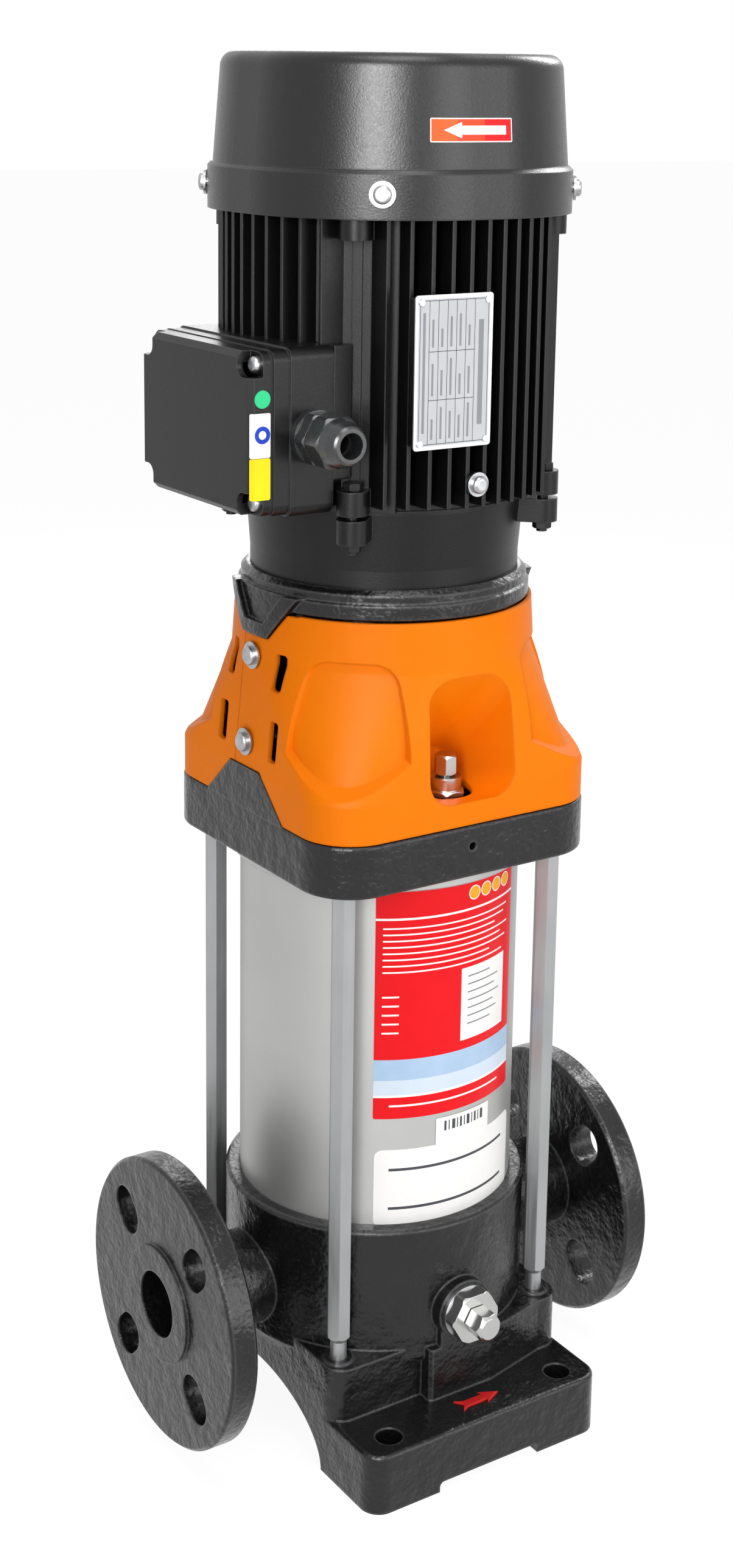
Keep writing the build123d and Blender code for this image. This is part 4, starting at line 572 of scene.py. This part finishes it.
def coverDisc(name, radius, level, lift, ink, hole=0.0):
    disc = bmesh.new()
    bmesh.ops.create_circle(disc, cap_ends=True, radius=radius, segments=coverDiscs["segments"])
    if hole:
        bmesh.ops.inset_region(disc, faces=disc.faces[:], thickness=radius - hole,
                               use_boundary=True)
        bmesh.ops.delete(disc, geom=[f for f in disc.faces if len(f.verts) > 4],
                         context="FACES_ONLY")
    faceUp(disc)
    bmesh.ops.solidify(disc, geom=disc.faces[:], thickness=-coverDiscs["thickness"])
    for vert in disc.verts:
        vert.co = ((coverDiscs["x"] + vert.co.x) / 1000,
                   coverLow[1] - (lift + vert.co.z) / 1000, (level + vert.co.y) / 1000)
    setInks(newPiece(name, disc, "pump_casing"), [ink])


coverSticker("cover_sticker_white", bottom=494.2, top=513.6, ink="whiteVinyl")
coverSticker("cover_sticker_yellow", bottom=475.8, top=494.0, ink="yellowVinyl")
coverDisc("cover_dot_green", radius=3.9, level=519.6, lift=0.04, ink="greenVinyl")
coverDisc("cover_ring_blue", radius=3.8, level=504.2, lift=0.12, ink="blueVinyl", hole=1.9)
print("stickers laid")

# Cast cheeks that close the terminal box onto the round frame
cheek = {"outer": -61.0, "inner": -52.2, "low": 481.6, "thick": 9.0, "round": 0.7}
boxLow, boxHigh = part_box("terminal_box")
boxTop = boxHigh[2] * 1000
cheeks = bmesh.new()
for side, face in ((-1, boxLow[1] * 1000), (1, boxHigh[1] * 1000)):
    made = bmesh.ops.create_cube(cheeks, size=1.0)["verts"]
    bmesh.ops.scale(cheeks, vec=(cheek["inner"] - cheek["outer"], cheek["thick"],
                                 boxTop - cheek["low"]), verts=made)
    bmesh.ops.translate(cheeks, vec=((cheek["inner"] + cheek["outer"]) / 2,
                                     face - side * cheek["thick"] / 2,
                                     (boxTop + cheek["low"]) / 2), verts=made)
longEdges = [e for e in cheeks.edges if abs(e.verts[0].co.x - e.verts[1].co.x) > 1]
bmesh.ops.bevel(cheeks, geom=longEdges, offset=cheek["round"], segments=3, profile=0.5,
                affect="EDGES", material=-1)
toMetres(cheeks)
cheekPiece = newPiece("terminal_box_cheeks", cheeks, "pump_casing")
cheekPiece.data.materials.append(coats["sprayOnDieCastAluminium"])
print("terminal box cheeks made")

# Studio: floor, world, lamps and camera. Seen directly or in a reflection, the floor glows near
# white and keeps a light shadow. For all other light it is matte.
studio = {"floor": 12.0, "white": "#f4f4f4", "floorGlow": 1.08, "glowShare": 0.86,
          "worldLight": 0.35, "worldSeen": 1.0}
plainWhite = (1, 1, 1, 1)
floorMesh = bmesh.new()
bmesh.ops.create_grid(floorMesh, x_segments=1, y_segments=1, size=studio["floor"])
floorData = bpy.data.meshes.new("floor")
floorMesh.to_mesh(floorData)
floorMesh.free()
floor = bpy.data.objects.new("floor", floorData)
bpy.context.scene.collection.objects.link(floor)


def seenDirectly(tree):
    path = addNode(tree, "ShaderNodeLightPath")
    either = addNode(tree, "ShaderNodeMath", None, {0: path.outputs["Is Camera Ray"],
                                                    1: path.outputs["Is Glossy Ray"]},
                     operation="MAXIMUM")
    return addNode(tree, "ShaderNodeMath", None,
                   {0: either.outputs["Value"], 1: path.outputs["Is Transmission Ray"]},
                   operation="MAXIMUM").outputs["Value"]


floorPaint, floorTree = emptyMaterial("paleFloor")
matte = addNode(floorTree, "ShaderNodeBsdfDiffuse", {"Color": toLinear(studio["white"])})
glow = addNode(floorTree, "ShaderNodeEmission", {"Color": plainWhite,
                                                 "Strength": studio["floorGlow"]})
share = addNode(floorTree, "ShaderNodeMath", {1: studio["glowShare"]},
                {0: seenDirectly(floorTree)}, operation="MULTIPLY")
blend = addNode(floorTree, "ShaderNodeMixShader", None, {"Fac": share.outputs["Value"],
                                                         1: matte.outputs["BSDF"],
                                                         2: glow.outputs["Emission"]})
addNode(floorTree, "ShaderNodeOutputMaterial", None, {"Surface": blend.outputs["Shader"]})
floor.data.materials.append(floorPaint)

world = bpy.data.worlds.new("studio")
bpy.context.scene.world = world
world.use_nodes = True
world.node_tree.nodes.clear()
soft = addNode(world.node_tree, "ShaderNodeBackground", {"Color": plainWhite,
                                                         "Strength": studio["worldLight"]})
plain = addNode(world.node_tree, "ShaderNodeBackground", {"Color": plainWhite,
                                                          "Strength": studio["worldSeen"]})
sky = addNode(world.node_tree, "ShaderNodeMixShader", None,
              {"Fac": seenDirectly(world.node_tree), 1: soft.outputs["Background"],
               2: plain.outputs["Background"]})
addNode(world.node_tree, "ShaderNodeOutputWorld", None, {"Surface": sky.outputs["Shader"]})

lamps = {    # place, aim, width, height, watts
    "keySoftbox": ((-1.2, -1.05, 0.85), (0, 0, 0.4), 0.3, 1.2, 10),
    "frontFill": ((0.8, -2.15, 0.8), (0, 0, 0.35), 1.5, 1.4, 23),
    "topPanel": ((-0.1, -0.5, 2.0), (0, 0, 0.4), 0.9, 0.9, 13),
    "backRim": ((0.9, 1.4, 1.2), (0, 0, 0.35), 0.5, 1.4, 8),
    "leftGloss": ((-0.98, -1.26, 0.95), (0, 0, 0.55), 0.66, 0.66, 28),
    "rightGloss": ((1.5, 0.5, 1.5), (0, 0, 0.2), 0.35, 0.8, 16)}
glossOnly = ("leftGloss", "rightGloss")       # strips that only draw highlights on dark paint
for name, (place, aim, width, height, watts) in lamps.items():
    lamp = bpy.data.lights.new(name, "AREA")
    lamp.shape, lamp.size, lamp.size_y, lamp.energy = "RECTANGLE", width, height, watts
    lampObject = bpy.data.objects.new(name, lamp)
    lampObject.location = place
    lampObject.rotation_euler = (Vector(aim) - Vector(place)).to_track_quat("-Z", "Y").to_euler()
    lampObject.visible_diffuse = name not in glossOnly
    bpy.context.scene.collection.objects.link(lampObject)

view = {"place": (-0.574, -0.8497, 0.6581), "right": (0.8329, -0.5533, 0.0143),
        "forward": (0.5426, 0.8111, -0.2186), "lens": 50.645, "sensor": 36.0,
        "shift": (-0.0047, -0.1416), "clip": (0.05, 20.0)}
camera = bpy.data.cameras.new("camera")
camera.lens, camera.sensor_width = view["lens"], view["sensor"]
camera.shift_x, camera.shift_y = view["shift"]
camera.clip_start, camera.clip_end = view["clip"]
cameraObject = bpy.data.objects.new("camera", camera)
right = Vector(view["right"]).normalized()
back = -Vector(view["forward"]).normalized()
up = back.cross(right).normalized()
right = up.cross(back)
cameraObject.matrix_world = Matrix.Translation(view["place"]) @ Matrix(
    (right, up, back)).transposed().to_4x4()
bpy.context.scene.collection.objects.link(cameraObject)
bpy.context.scene.camera = cameraObject
bpy.context.scene.view_settings.view_transform = "Standard"
print("studio set")
